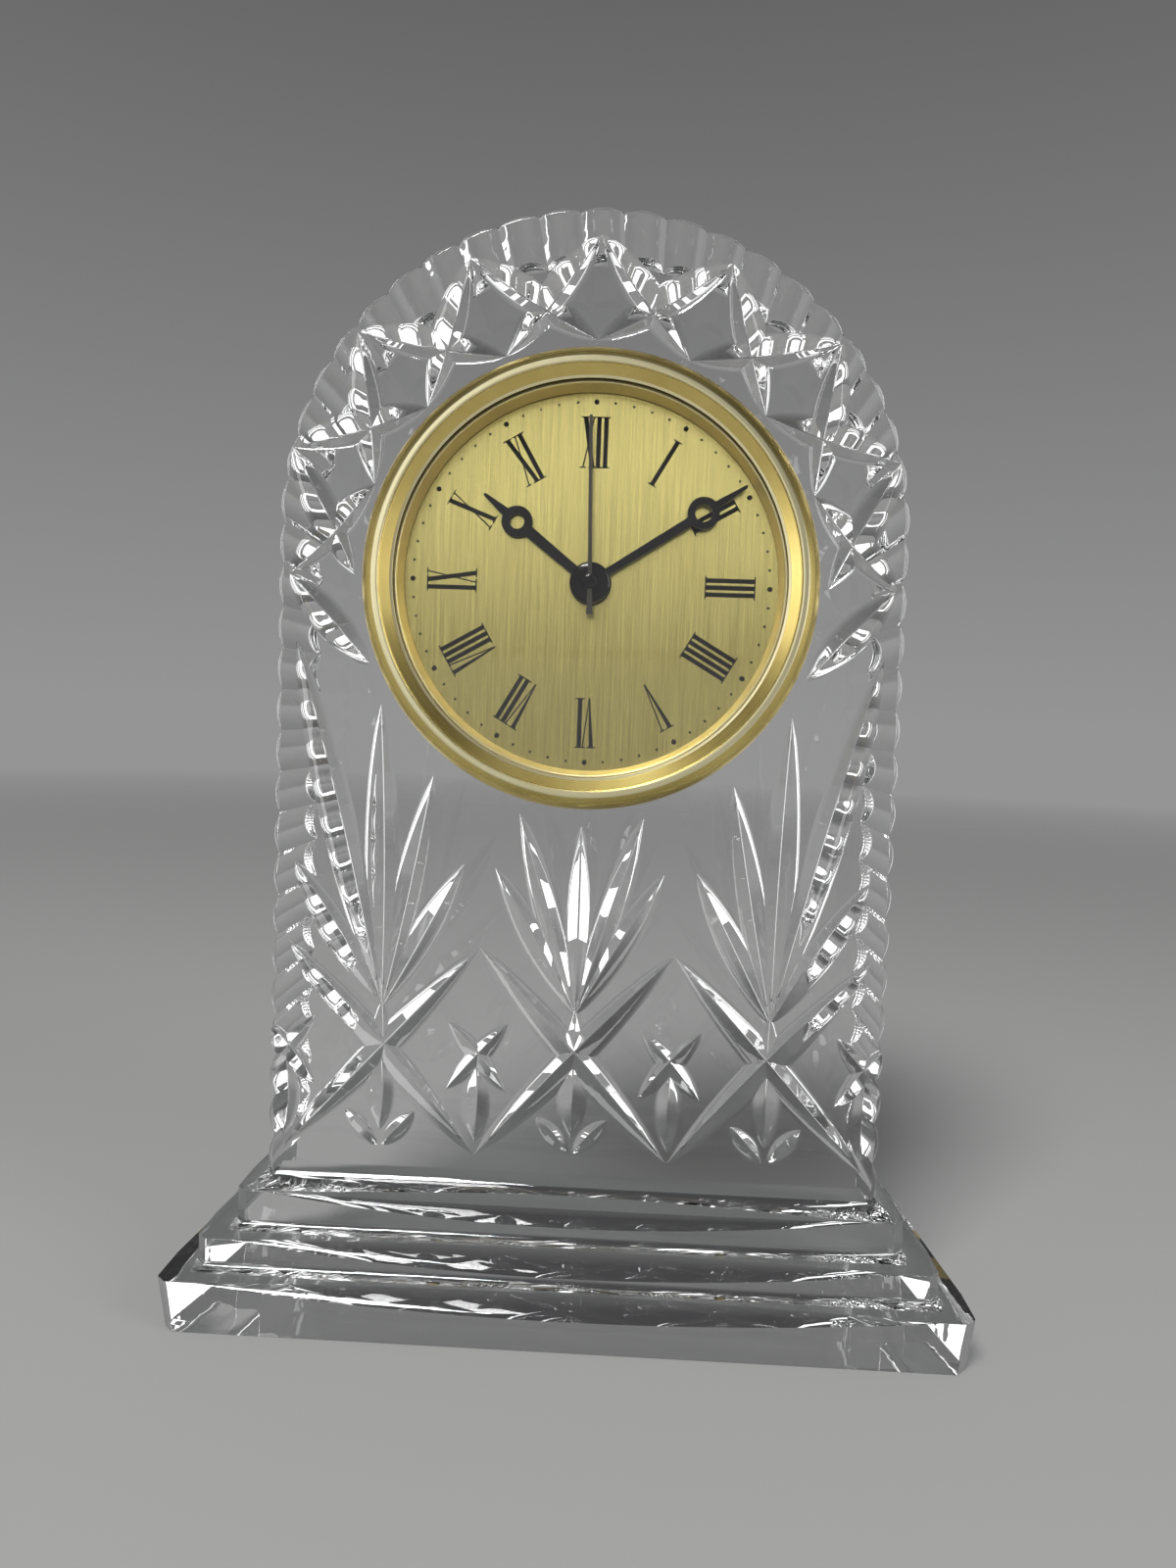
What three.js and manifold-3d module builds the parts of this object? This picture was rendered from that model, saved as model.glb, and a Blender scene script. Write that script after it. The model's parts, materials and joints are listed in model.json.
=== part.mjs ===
// Crystal desk clock: an arched cut-glass block on a stepped base, with a round quartz clock pushed
// into a bore through the block. Millimetres, +Z up, the front faces -Y, origin at the bottom centre.
import * as THREE from "three";
import { mergeVertices } from "three/addons/utils/BufferGeometryUtils.js";
import Module from "manifold-3d";

const wasm = await Module();
wasm.setup();

// Crystal block
const slabDepth = 34.3; // upright slab, front face to back face
const bodyHalfWidth = 47.6; // half of the slab's front face
const dialHeight = 115.3; // dial centre above the table
const archRise = 8; // centre of the arch above the dial centre
const lobeBulge = 1.2; // how far each side flute stands past the front face
const lobePitch = 6.5;
const faceBevel = 1.5; // depth of the bevel between front face and flutes
const tierInset = 4.5; // each tier of the base is this much narrower per side than the one below
const tierSetback = 4.57; // and its front stands this much further back
const plinthHeight = 8.2;
const secondTierHeight = 4.7;
const thirdTierHeight = 5.75;
const neckHeight = 3.8; // cove between third tier and slab
const plinthTaper = 0.9; // the plinth narrows to its foot by this much per side
const cornerCut = 1.6; // cut corners of the tiers
const straightSide = 9; // length of a tier's side before it narrows to the back
const sideTaper = 0.08; // narrowing per mm behind that
const tierCutMargin = 5; // from a tier's corner to the end of the long hollow across its front
const tierCutDepth = 1.1;
const tierCutRim = 0.2; // how far the hollow breaks through the tier's upper edge

// Cut pattern on the front face
const archPitch = 22.5; // degrees between the ends of the arch cuts
const archEdgeMargin = 3.4; // from the outer ends of the arch cuts to the top of the front face
const archBezelMargin = 1.5; // from the bezel to the inner ends of the arch cuts
const archCutWidth = 4.6;
const fanPitch = 30.6; // spacing of the three fans
const patternMargin = 1.9; // from the cove to the lowest cuts
const crossRise = 33.4; // height of a long diagonal cut
const crossWidth = 4.4;
const fanAboveCross = 6.5; // where a fan's leaves meet, above the crossing of the long cuts
const starBelowCross = 0.7;
const leafSlope = 0.75; // depth of a leaf cut over half its width

// Clock insert: radii, and distances behind the front face of the block
const trainRoom = 10.31; // from the dial centre down to the battery bay
const boreClearance = 1.6; // between the case and the bore, filled by the rubber ring
const bezelFlange = 2; // how far the bezel covers the block round the bore
const bezelLip = 0.9; // how far the bezel reaches in over the case
const bezelProud = 4.8;
const bezelSkirt = 3.4; // how far the bezel reaches into the bore
const caseWall = 1.1;
const caseFront = -1.6; // the case stands this far out of the bore, inside the bezel
const caseDepth = 22;
const caseFloor = 1.5;
const lensRise = 3;
const lensWall = 0.8;
const spacerWidth = 1; // ring round the dial
const dialFront = 2.2;
const dialThickness = 0.5;
const gap = 0.3; // clearance between neighbouring pieces
const gripAt = 6; // front of the rubber ring
const gripPitch = 2.4; // of its ridges
const plateThickness = 1.6;

// Hands: lengths, and the front of each behind the front face of the block
const hourHandAt = 1.1;
const minuteHandAt = 0.3;
const secondHandAt = -1.2;
const minuteTipMargin = 1; // from the tip of the minute hand to the ring round the dial
const minuteRingAt = 20.3; // centre of the open ring
const minuteRingRadius = 2.45;
const minuteEyeRadius = 1.33;
const minuteBarWidth = 1.4;
const hourLength = 21.4;
const hourRingAt = 14.8;
const hourRingRadius = 2.4;
const hourEyeRadius = 1.15;
const hourBarWidth = 1.7;
const secondTipMargin = 4;
const secondTail = 5;
const secondCapRadius = 1.1;
const handThickness = 0.35;
const handTipWidth = 0.5;
const bossRadius = 3.2;
const minuteAngle = 57; // degrees clockwise from twelve, as the hands rest
const hourAngle = 308;
const secondAngle = -1.5;

// Going train and motion work: teeth, and module in mm
const toothClearance = 0.15; // teeth stop this much short of the pitch line
const motionModule = 0.3;
const cannonTeeth = 12;
const minuteWheelTeeth = 36;
const minutePinionTeeth = 10;
const hourWheelTeeth = 40;
const settingTeeth = 18;
const trainModule = 0.25;
const centreTeeth = 64;
const thirdPinionTeeth = 8;
const thirdTeeth = 60;
const secondPinionTeeth = 8;
const secondTeeth = 60;
const intermediatePinionTeeth = 10;
const intermediateTeeth = 60;
const rotorTeeth = 12;
const rotorModule = 0.2;
const pivotRadius = 0.35;
const cannonRadius = 1.15;
const pipeWall = 0.4;
const wheelThickness = 0.7;

// Battery, knob and electrical pieces
const batteryRadius = 6;
const batteryLength = 30.2;
const batteryStart = 7.7; // front of the battery behind the front face of the block
const batteryNubRadius = 2;
const batteryNubLength = 1;
const bayWall = 1;
const contactRoom = 2.1; // beside each end of the battery
const contactThickness = 0.4;
const contactHalfWidth = 3.5;
const knobRadius = 4.5;
const knobThickness = 2.5;
const knobGap = 0.6; // between the knob and the back of the case
const shaftRadius = 1.2;
const magnetRadius = 3;
const magnetLength = 2.4;
const statorThickness = 0.8;
const statorGap = 0.35; // between the magnet and the stator
const coreLevel = 21.2; // the coil's axis above the dial centre
const coreHalfWidth = 0.9;
const coilFrom = 0.2;
const coilTo = 13.6;
const coilRadius = 3.1;
const flangeThickness = 0.8;
const bobbinWall = 0.7;
const boardThickness = 0.8;
const canRadius = 1;
const canLength = 6;
const postRadius = 2.2;
const pillarRadius = 1.6;
const trainPlateThickness = 1;
const screwRadius = 0.8;
const pillarScrewRadius = 0.6;
const screwBite = 5.5; // how far a case screw reaches into its post
const pillarScrewBite = 3.5;

const roundSegments = 36;
const smallSegments = 16;

const glass = { color: 0xe6ecec, roughness: 0.04, metalness: 0 };
const gold = { color: 0xd9b65c, roughness: 0.2, metalness: 1 };
const dialGold = { color: 0xd8c184, roughness: 0.45, metalness: 0.8 };
const handBlack = { color: 0x161616, roughness: 0.5, metalness: 0 };
const plasticBlack = { color: 0x1c1c1e, roughness: 0.6, metalness: 0 };
const plasticWhite = { color: 0xe9e6dc, roughness: 0.5, metalness: 0 };
const steel = { color: 0xb6b8ba, roughness: 0.35, metalness: 1 };
const copper = { color: 0xb66b3a, roughness: 0.4, metalness: 1 };
const boardGreen = { color: 0x2f6b45, roughness: 0.6, metalness: 0 };
const rubberBlack = { color: 0x101010, roughness: 0.9, metalness: 0 };

const radians = (degrees) => (degrees * Math.PI) / 180;

function named(name, geometry, look, x = 0, y = 0, z = 0) {
  const mesh = new THREE.Mesh(geometry, new THREE.MeshStandardMaterial(look));
  mesh.name = name;
  mesh.position.set(x, y, z);
  return mesh;
}

function geometryFrom(positions, indices) {
  const geometry = new THREE.BufferGeometry();
  geometry.setAttribute("position", new THREE.Float32BufferAttribute(positions, 3));
  geometry.setIndex(indices);
  return geometry;
}

// Turns a closed surface the right way out, whichever way its rings ran.
function facingOut(geometry) {
  const at = geometry.attributes.position;
  const index = geometry.index.array;
  const [a, b, c] = [new THREE.Vector3(), new THREE.Vector3(), new THREE.Vector3()];
  let volume = 0;
  for (let i = 0; i < index.length; i += 3) {
    a.fromBufferAttribute(at, index[i]);
    b.fromBufferAttribute(at, index[i + 1]);
    c.fromBufferAttribute(at, index[i + 2]);
    volume += a.dot(b.cross(c));
  }
  if (volume < 0) {
    for (let i = 0; i < index.length; i += 3) [index[i], index[i + 1]] = [index[i + 1], index[i]];
  }
  return geometry;
}

// A closed geometry as a solid for joining and cutting.
function solid(geometry) {
  const plain = geometry.clone();
  plain.deleteAttribute("normal");
  plain.deleteAttribute("uv");
  const merged = mergeVertices(plain, 1e-4);
  const index = merged.index.array;
  const triangles = [];
  for (let i = 0; i < index.length; i += 3) {
    const [a, b, c] = [index[i], index[i + 1], index[i + 2]];
    if (a !== b && b !== c && c !== a) triangles.push(a, b, c);
  }
  const mesh = new wasm.Mesh({
    numProp: 3,
    vertProperties: new Float32Array(merged.attributes.position.array),
    triVerts: new Uint32Array(triangles),
  });
  return new wasm.Manifold(mesh);
}

function shapeOf(body) {
  const mesh = body.getMesh();
  return geometryFrom(Array.from(mesh.vertProperties), Array.from(mesh.triVerts));
}

const cut = (geometry, ...tools) =>
  shapeOf(tools.reduce((rest, tool) => rest.subtract(solid(tool)), solid(geometry)));
const join = (geometry, ...others) =>
  shapeOf(others.reduce((whole, other) => whole.add(solid(other)), solid(geometry)));

// A ring of revolution about Y from a closed profile of [radius, y] points.
function turned(profile, segments = roundSegments) {
  const area = profile.reduce((sum, [r, y], i) => {
    const [nextR, nextY] = profile[(i + 1) % profile.length];
    return sum + r * nextY - nextR * y;
  }, 0);
  const points = (area > 0 ? profile : [...profile].reverse()).map(([r, y]) => new THREE.Vector2(r, y));
  points.push(points[0].clone());
  return new THREE.LatheGeometry(points, segments);
}

const tube = (inner, outer, from, to, segments) =>
  turned([[inner, from], [outer, from], [outer, to], [inner, to]], segments);
const rod = (radius, from, to, segments = smallSegments) =>
  new THREE.CylinderGeometry(radius, radius, to - from, segments).translate(0, (from + to) / 2, 0);
const block = (x0, x1, y0, y1, z0, z1) =>
  new THREE.BoxGeometry(x1 - x0, y1 - y0, z1 - z0).translate((x0 + x1) / 2, (y0 + y1) / 2, (z0 + z1) / 2);

// A flat shape, drawn in x and z, given thickness along Y.
function plate(points, from, to) {
  const shape = new THREE.Shape(points.map(([x, z]) => new THREE.Vector2(x, z)));
  const geometry = new THREE.ExtrudeGeometry(shape, { depth: to - from, bevelEnabled: false });
  return geometry.rotateX(Math.PI / 2).translate(0, to, 0);
}

function circlePoints(x, z, radius, count) {
  return Array.from({ length: count }, (_, i) => {
    const angle = (2 * Math.PI * i) / count;
    return [x + radius * Math.cos(angle), z + radius * Math.sin(angle)];
  });
}

// A solid lofted through rings of equally many points, with flat caps on its first and last ring.
function loft(rings, capPoints) {
  const count = rings[0].length;
  const positions = rings.flat(2);
  const indices = [];
  for (let r = 0; r + 1 < rings.length; r++) {
    for (let i = 0; i < count; i++) {
      const a = r * count + i;
      const b = r * count + ((i + 1) % count);
      indices.push(a, b, b + count, a, b + count, a + count);
    }
  }
  const faces = (ring) =>
    THREE.ShapeUtils.triangulateShape(ring.map((p) => new THREE.Vector2(...capPoints(p))), []);
  const last = (rings.length - 1) * count;
  for (const [a, b, c] of faces(rings[0])) indices.push(a, c, b);
  for (const [a, b, c] of faces(rings[rings.length - 1])) indices.push(last + a, last + b, last + c);
  return facingOut(geometryFrom(positions, indices));
}

const tierHeights = [plinthHeight, secondTierHeight, thirdTierHeight];
const tiers = tierHeights.length;
const baseDepth = slabDepth + tiers * tierSetback;
const frontFace = -baseDepth / 2 + tiers * tierSetback;
const backFace = baseDepth / 2;
const archCentre = dialHeight + archRise;
const neckTop = plinthHeight + secondTierHeight + thirdTierHeight + neckHeight;
// The round case is as small as its battery bay allows: the bay's lower corners lie in its wall.
const bayHalfLength = batteryLength / 2 + contactRoom;
const bayHalfHeight = batteryRadius + gap;
const batteryDrop = trainRoom + bayHalfHeight + bayWall;
const bayLow = batteryDrop + bayHalfHeight + bayWall;
const caseRadius = Math.hypot(bayHalfLength + bayWall, bayLow) + caseWall / 2;
const boreRadius = caseRadius + boreClearance;
const bezelRadius = boreRadius + bezelFlange;
const bezelLipRadius = caseRadius - bezelLip;

// The slab's outline, anticlockwise seen from the back: up one side, over the arch and down the other.
// Each flute is a shallow arc of three steps; the notches between flutes lie on the plain outline.
function slabOutline(bulge) {
  const arcLobes = Math.round((Math.PI * bodyHalfWidth) / lobePitch);
  const sideLobes = Math.round(archCentre / lobePitch);
  const steps = 4;
  // The place and outward direction after t flutes: up one side, round the arch, down the other.
  const along = (t) => {
    if (t <= sideLobes) return { x: bodyHalfWidth, z: (archCentre * t) / sideLobes, nx: 1, nz: 0 };
    if (t >= sideLobes + arcLobes) {
      const z = archCentre * (1 - (t - sideLobes - arcLobes) / sideLobes);
      return { x: -bodyHalfWidth, z, nx: -1, nz: 0 };
    }
    const angle = (Math.PI * (t - sideLobes)) / arcLobes;
    const [nx, nz] = [Math.cos(angle), Math.sin(angle)];
    return { x: bodyHalfWidth * nx, z: archCentre + bodyHalfWidth * nz, nx, nz };
  };
  const points = [];
  const lobes = 2 * sideLobes + arcLobes;
  for (let lobe = 0; lobe < lobes; lobe++) {
    for (let step = 0; step < steps; step++) {
      const place = along(lobe + step / steps);
      const out = bulge * Math.sin((Math.PI * step) / steps) ** 0.7;
      points.push([place.x + place.nx * out, place.z + place.nz * out]);
    }
  }
  const end = along(lobes);
  points.push([end.x, end.z]);
  return points;
}

function slab() {
  const faceBulge = 0.02; // keeps the points of a straight side apart from its line
  const ring = (bulge, y) => slabOutline(bulge).map(([x, z]) => [x, y, z]);
  const rings = [
    ring(faceBulge, frontFace),
    ring(lobeBulge, frontFace + faceBevel),
    ring(lobeBulge, backFace - faceBevel),
    ring(faceBulge, backFace),
  ];
  return loft(rings, ([x, , z]) => [x, z]);
}

// A tier's outline from above: cut front corners, straight sides, then narrowing to the flat back.
function tierOutline(inset, z) {
  const halfWidth = bodyHalfWidth + tiers * tierInset - inset;
  const front = -baseDepth / 2 + (inset / tierInset) * tierSetback;
  const sideEnd = front + straightSide;
  const backHalf = halfWidth - sideTaper * (backFace - sideEnd);
  const right = [
    [halfWidth - cornerCut, front],
    [halfWidth, front + cornerCut],
    [halfWidth, sideEnd],
    [backHalf, backFace],
  ];
  const left = right.map(([x, y]) => [-x, y]).reverse();
  return [...right, ...left].map(([x, y]) => [x, y, z]);
}

// The stepped base: every tier has an upright side, a flat ledge and a small cove up to the next tier.
function base() {
  const rings = [tierOutline(plinthTaper, 0)];
  let level = 0;
  tierHeights.forEach((height, tier) => {
    const inset = tier * tierInset;
    level += height;
    rings.push(tierOutline(inset, level));
    if (tier + 1 < tiers) {
      rings.push(tierOutline(inset + 0.75 * tierInset, level + 0.25));
      rings.push(tierOutline(inset + tierInset, level + 1.2));
    }
  });
  const lastInset = (tiers - 1) * tierInset;
  rings.push(tierOutline(lastInset + 0.6 * tierInset, level + 0.25 * neckHeight));
  rings.push(tierOutline(lastInset + 0.97 * tierInset, neckTop));
  return loft(rings, ([x, y]) => [x, y]);
}

// A wheel cut in the plane y = face: a groove that is widest and deepest in its middle and runs out to a
// point at each end. The keel is an arc of the wheel's rim; the section is a V, or rounder with more sides.
function leafCut(x, z, angle, length, width, depth, face, section = [[-1, 0], [0, 1], [1, 0]]) {
  const lift = 0.4; // the tool starts this far in front of the face
  const stations = 6;
  const rim = (length * length) / 4;
  const wheel = (rim + depth * depth) / (2 * depth);
  const reach = Math.sqrt(wheel * wheel - (wheel - depth - lift) ** 2);
  const flatness = width / 2 / depth;
  const positions = [-reach, -lift, 0];
  const indices = [];
  const sides = section.length;
  for (let i = 1; i < stations; i++) {
    const u = -reach * Math.cos((Math.PI * i) / stations);
    const deep = depth - wheel + Math.sqrt(wheel * wheel - u * u);
    for (const [across, down] of section) {
      positions.push(u, -lift + down * (deep + lift), across * flatness * (deep + lift));
    }
  }
  positions.push(reach, -lift, 0);
  const end = positions.length / 3 - 1;
  for (let side = 0; side < sides; side++) {
    const next = (side + 1) % sides;
    indices.push(0, 1 + next, 1 + side);
    for (let i = 0; i + 2 < stations; i++) {
      const a = 1 + i * sides + side;
      const b = 1 + i * sides + next;
      indices.push(a, b, b + sides, a, b + sides, a + sides);
    }
    indices.push(end, end - sides + side, end - sides + next);
  }
  const geometry = facingOut(geometryFrom(positions, indices));
  return geometry.rotateY(-radians(angle)).translate(x, face, z);
}

// A leaf cut between two points of the front face.
function leafBetween(x0, z0, x1, z1, width) {
  const length = Math.hypot(x1 - x0, z1 - z0);
  const angle = (Math.atan2(z1 - z0, x1 - x0) * 180) / Math.PI;
  return leafCut((x0 + x1) / 2, (z0 + z1) / 2, angle, length, width, (width / 2) * leafSlope, frontFace);
}

// The ring of crossing cuts round the dial: from each outer point one cut to either side.
function archCuts() {
  const tools = [];
  const outerPoints = 4; // on each side of the top one
  const outerRing = bodyHalfWidth + archRise - archEdgeMargin;
  const innerRing = bezelRadius + archBezelMargin;
  const onRing = (radius, angle) => [radius * Math.sin(angle), dialHeight + radius * Math.cos(angle)];
  for (let i = -outerPoints; i <= outerPoints; i++) {
    const outer = radians(i * archPitch);
    const sideways = Math.abs(Math.sin(outer));
    const reach = sideways > 0.9 ? (bodyHalfWidth - 0.8) / sideways : outerRing;
    for (const way of [-1, 1]) {
      const inner = radians((i + way) * archPitch);
      tools.push(leafBetween(...onRing(reach, outer), ...onRing(innerRing, inner), archCutWidth));
    }
  }
  return tools;
}

// Leaves of a fan as [degrees from upright, length, width]; a side fan leans to the edge.
const centreFan = [[-30, 26.6, 4], [-17, 33.2, 4.2], [0, 30.2, 4.2], [17, 33.2, 4.2], [30, 26.6, 4]];
const sideFan = [[-28, 26.6, 4.2], [-11, 38, 4.2], [1.5, 48.2, 4.6], [14.5, 59.5, 4.8], [32.5, 27.1, 4.2]];
// Short cuts as [x, z, x, z, width] from the crossing of two long ones, and from the centre of a star.
const crossLeaves = [
  [0, 7.7, 0, -4.8, 3], [0, -0.8, 0, -13.3, 4.2],
  [5.6, -10.1, 0.3, -15.8, 2.8], [-5.6, -10.1, -0.3, -15.8, 2.8],
];
const starLeaves = [[-4.8, -5.5, 4.8, 5.5, 3.2], [4.8, -5.5, -4.8, 5.5, 3.2], [0, -1.5, 0, -14, 4]];
const crossLevel = neckTop + patternMargin + crossRise / 2;
const fanLevel = crossLevel + fanAboveCross;
const starLevel = crossLevel - starBelowCross;

function fanCuts(x, leaves, mirror) {
  return leaves.map(([degrees, length, width]) => {
    const lean = radians(degrees * mirror);
    const tip = [x + length * Math.sin(lean), fanLevel + length * Math.cos(lean)];
    return leafBetween(x, fanLevel, ...tip, width);
  });
}

function lowerCuts() {
  const tools = [
    ...fanCuts(0, centreFan, 1),
    ...fanCuts(fanPitch, sideFan, 1),
    ...fanCuts(-fanPitch, sideFan, -1),
  ];
  const group = (x, z, leaves) =>
    leaves.map(([x0, z0, x1, z1, width]) => leafBetween(x + x0, z + z0, x + x1, z + z1, width));
  const half = fanPitch / 2;
  const rise = crossRise / 2;
  for (const x of [-fanPitch, 0, fanPitch]) {
    tools.push(leafBetween(x - half, crossLevel - rise, x + half, crossLevel + rise, crossWidth));
    tools.push(leafBetween(x - half, crossLevel + rise, x + half, crossLevel - rise, crossWidth));
    tools.push(...group(x, crossLevel, crossLeaves));
  }
  for (const x of [-3 * half, -half, half, 3 * half]) tools.push(...group(x, starLevel, starLeaves));
  return tools;
}

// The long hollow that rounds the upper front edge of each tier.
function tierCuts() {
  const round = [[-1, 0], [-0.7, 0.62], [0, 1], [0.7, 0.62], [1, 0]];
  let top = 0;
  return tierHeights.map((height, tier) => {
    top += height;
    const front = -baseDepth / 2 + tier * tierSetback;
    const halfLength = bodyHalfWidth + (tiers - tier) * tierInset - tierCutMargin;
    const halfHeight = height * 0.3 + 1;
    const middle = top - halfHeight + tierCutRim;
    return leafCut(0, middle, 0, 2 * halfLength, 2 * halfHeight, tierCutDepth, front, round);
  });
}

function crystalBlock() {
  const plain = solid(slab()).add(solid(base()));
  const bore = rod(boreRadius, frontFace - 1, backFace + 1, roundSegments).translate(0, 0, dialHeight);
  const tools = [bore, ...archCuts(), ...lowerCuts(), ...tierCuts()];
  return shapeOf(tools.reduce((rest, tool) => rest.subtract(solid(tool)), plain));
}

// The clock insert is modelled about its own axis: local Y is the depth behind the front face.
const caseInner = caseRadius - caseWall;
const dialRadius = caseInner - gap;
const dialOpening = dialRadius - spacerWidth;
const hourPipeRadius = cannonRadius + gap + pipeWall;
const lensRim = caseRadius - gap;
const lensBack = caseFront - gap;
const lipBack = lensBack - lensWall - gap;
const plateFront = dialFront + dialThickness + gap;
const plateBack = plateFront + plateThickness;
const pivotFront = plateFront + 0.7; // front ends of the axles, in blind holes of the front plate
const bushRadius = hourPipeRadius + gap + 0.8;
const floorFront = caseDepth - caseFloor;
const bayFront = batteryStart - gap - bayWall;

// The bezel slopes up from its lip to a narrow bright ring and rolls over to its widest edge.
function bezelRing() {
  const [skirtIn, skirtOut] = [caseRadius + gap, boreRadius - gap];
  return turned([
    [bezelLipRadius, lipBack - 0.15],
    [bezelRadius - 2.1, -bezelProud + 0.1],
    [bezelRadius - 1.7, -bezelProud],
    [bezelRadius - 1.1, -bezelProud + 0.25],
    [bezelRadius - 0.4, -0.66 * bezelProud],
    [bezelRadius, -0.33 * bezelProud],
    [bezelRadius, -gap],
    [skirtOut, -gap],
    [skirtOut, bezelSkirt],
    [skirtIn, bezelSkirt],
    [skirtIn, lipBack],
    [bezelLipRadius, lipBack],
  ]);
}

// Domed lens: outer and inner face are arcs of two spheres over a flat rim.
function lensDome() {
  const rimFront = lensBack - lensWall;
  const domeRadius = bezelLipRadius - gap;
  const steps = 5;
  const outer = [];
  const inner = [];
  for (let i = 0; i <= steps; i++) {
    const t = i / steps;
    const rise = lensRise * (1 - t * t);
    outer.push([domeRadius * t, rimFront - rise]);
    inner.push([(domeRadius - lensWall) * t, lensBack - rise]);
  }
  return turned([...inner, [lensRim, lensBack], [lensRim, rimFront], ...outer.reverse()]);
}

function insertCase() {
  const shell = turned([
    [0, floorFront], [caseInner, floorFront], [caseInner, caseFront],
    [caseRadius, caseFront], [caseRadius, caseDepth], [0, caseDepth],
  ]);
  const [outX, outZ] = [bayHalfLength + bayWall, bayHalfHeight + bayWall];
  const bay = block(-outX, outX, bayFront, floorFront + 0.5, -batteryDrop - outZ, -batteryDrop + outZ);
  const room = block(
    -bayHalfLength, bayHalfLength, bayFront + bayWall, caseDepth + 1,
    -batteryDrop - bayHalfHeight, -batteryDrop + bayHalfHeight,
  );
  const hole = (radius, place) => rod(radius + gap, floorFront - 1, caseDepth + 1).translate(...place);
  const screwHoles = screwPlaces.map((place) => hole(screwRadius, place));
  return cut(join(shell, bay), room, hole(shaftRadius, knobPlace), ...screwHoles);
}

// A rubber sleeve with ridges that grip the bore.
function gripRing() {
  const ridges = 4;
  const [low, high] = [boreRadius - 3 * gap, boreRadius - gap];
  const outer = [];
  for (let i = 0; i < ridges; i++) {
    const y = gripAt + i * gripPitch;
    outer.push([low, y], [high, y + gripPitch / 2]);
  }
  const end = gripAt + ridges * gripPitch;
  return turned([[caseRadius + gap, gripAt], ...outer, [low, end], [caseRadius + gap, end]]);
}

// Gears. Teeth are plain points whose tips stop short of the pitch line, so a pair clears at any angle.
const pitchRadius = (teeth, module) => (teeth * module) / 2;

function gearPoints(teeth, module) {
  const tip = pitchRadius(teeth, module) - toothClearance;
  const root = tip - 1.6 * module;
  const points = [];
  for (let i = 0; i < teeth; i++) {
    const [a, b] = [(2 * Math.PI * i) / teeth, (2 * Math.PI * (i + 0.5)) / teeth];
    points.push([tip * Math.sin(a), tip * Math.cos(a)], [root * Math.sin(b), root * Math.cos(b)]);
  }
  return points;
}

function gear(teeth, module, from, to, bore = 0) {
  const wheel = plate(gearPoints(teeth, module), from, to);
  return bore > 0 ? cut(wheel, rod(bore, from - 1, to + 1)) : wheel;
}

// Depths of the wheels behind the front face of the block.
const hourWheelAt = plateBack + gap;
const minuteWheelAt = hourWheelAt + wheelThickness + 1;
const centreWheelAt = minuteWheelAt + wheelThickness + 0.7;
const thirdWheelAt = centreWheelAt + wheelThickness + 1.2;
const secondWheelAt = thirdWheelAt + wheelThickness + 0.5;
const intermediateAt = secondWheelAt + wheelThickness + 0.6;
const trainPlateAt = intermediateAt + wheelThickness + 0.9;
const trainPlateBack = trainPlateAt + trainPlateThickness;
const axleEnd = trainPlateBack - 0.2;

// Axis places from the dial centre, each from the centre distance of its gear pair.
const minuteWheelDistance = pitchRadius(cannonTeeth + minuteWheelTeeth, motionModule);
const hourModule = (2 * minuteWheelDistance) / (minutePinionTeeth + hourWheelTeeth);
const thirdDistance = pitchRadius(centreTeeth + thirdPinionTeeth, trainModule);
const thirdModule = (2 * thirdDistance) / (thirdTeeth + secondPinionTeeth);
const intermediateDistance = pitchRadius(secondTeeth + intermediatePinionTeeth, trainModule);
const rotorDistance = pitchRadius(intermediateTeeth + rotorTeeth, rotorModule);
const knobDistance = pitchRadius(minuteWheelTeeth + settingTeeth, motionModule);
const polar = (distance, degrees, [x, , z] = [0, 0, 0]) => [
  x + distance * Math.cos(radians(degrees)), 0, z + distance * Math.sin(radians(degrees)),
];
const minuteWheelPlace = polar(minuteWheelDistance, 200);
const knobPlace = polar(knobDistance, 170, minuteWheelPlace);
const thirdPlace = polar(thirdDistance, 0);
const intermediatePlace = polar(intermediateDistance, 140);
const rotorPlace = polar(rotorDistance, 110, intermediatePlace);
const trainPlateLow = 2 * gap - trainRoom;
const screwPlaces = [20, 160, -25, -155].map((degrees) => polar(caseInner - 3.4 * screwRadius - 3, degrees));
const pillarPlaces = [[-1, 0, 12.4], [17, 0, trainPlateLow + 1.8], [-14.5, 0, trainPlateLow + 2.2]];

// Black moulded plate behind the dial, with the centre bush in front and the case posts behind.
function frontPlate() {
  const disc = rod(caseInner - gap, plateFront, plateBack, roundSegments);
  const bush = rod(bushRadius, dialFront - gap, plateFront + 0.5);
  const column = (radius, to) => (place) => rod(radius, plateBack - 0.5, to - gap).translate(...place);
  const posts = screwPlaces.map(column(postRadius, floorFront));
  const pillars = pillarPlaces.map(column(pillarRadius, trainPlateAt));
  const hole = (radius, from, to) => (place) => rod(radius + gap, from, to, 8).translate(...place);
  const pivotPlaces = [thirdPlace, intermediatePlace, rotorPlace, minuteWheelPlace, knobPlace];
  return cut(
    join(disc, bush, ...posts, ...pillars),
    rod(hourPipeRadius + gap, dialFront - 1, plateBack + 1),
    ...pivotPlaces.map(hole(pivotRadius, pivotFront - gap, plateBack + 1)),
    ...screwPlaces.map(hole(screwRadius, floorFront - screwBite - gap, floorFront + 1)),
    ...pillarPlaces.map(hole(pillarScrewRadius, trainPlateAt - pillarScrewBite - gap, trainPlateAt + 1)),
  );
}

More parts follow.
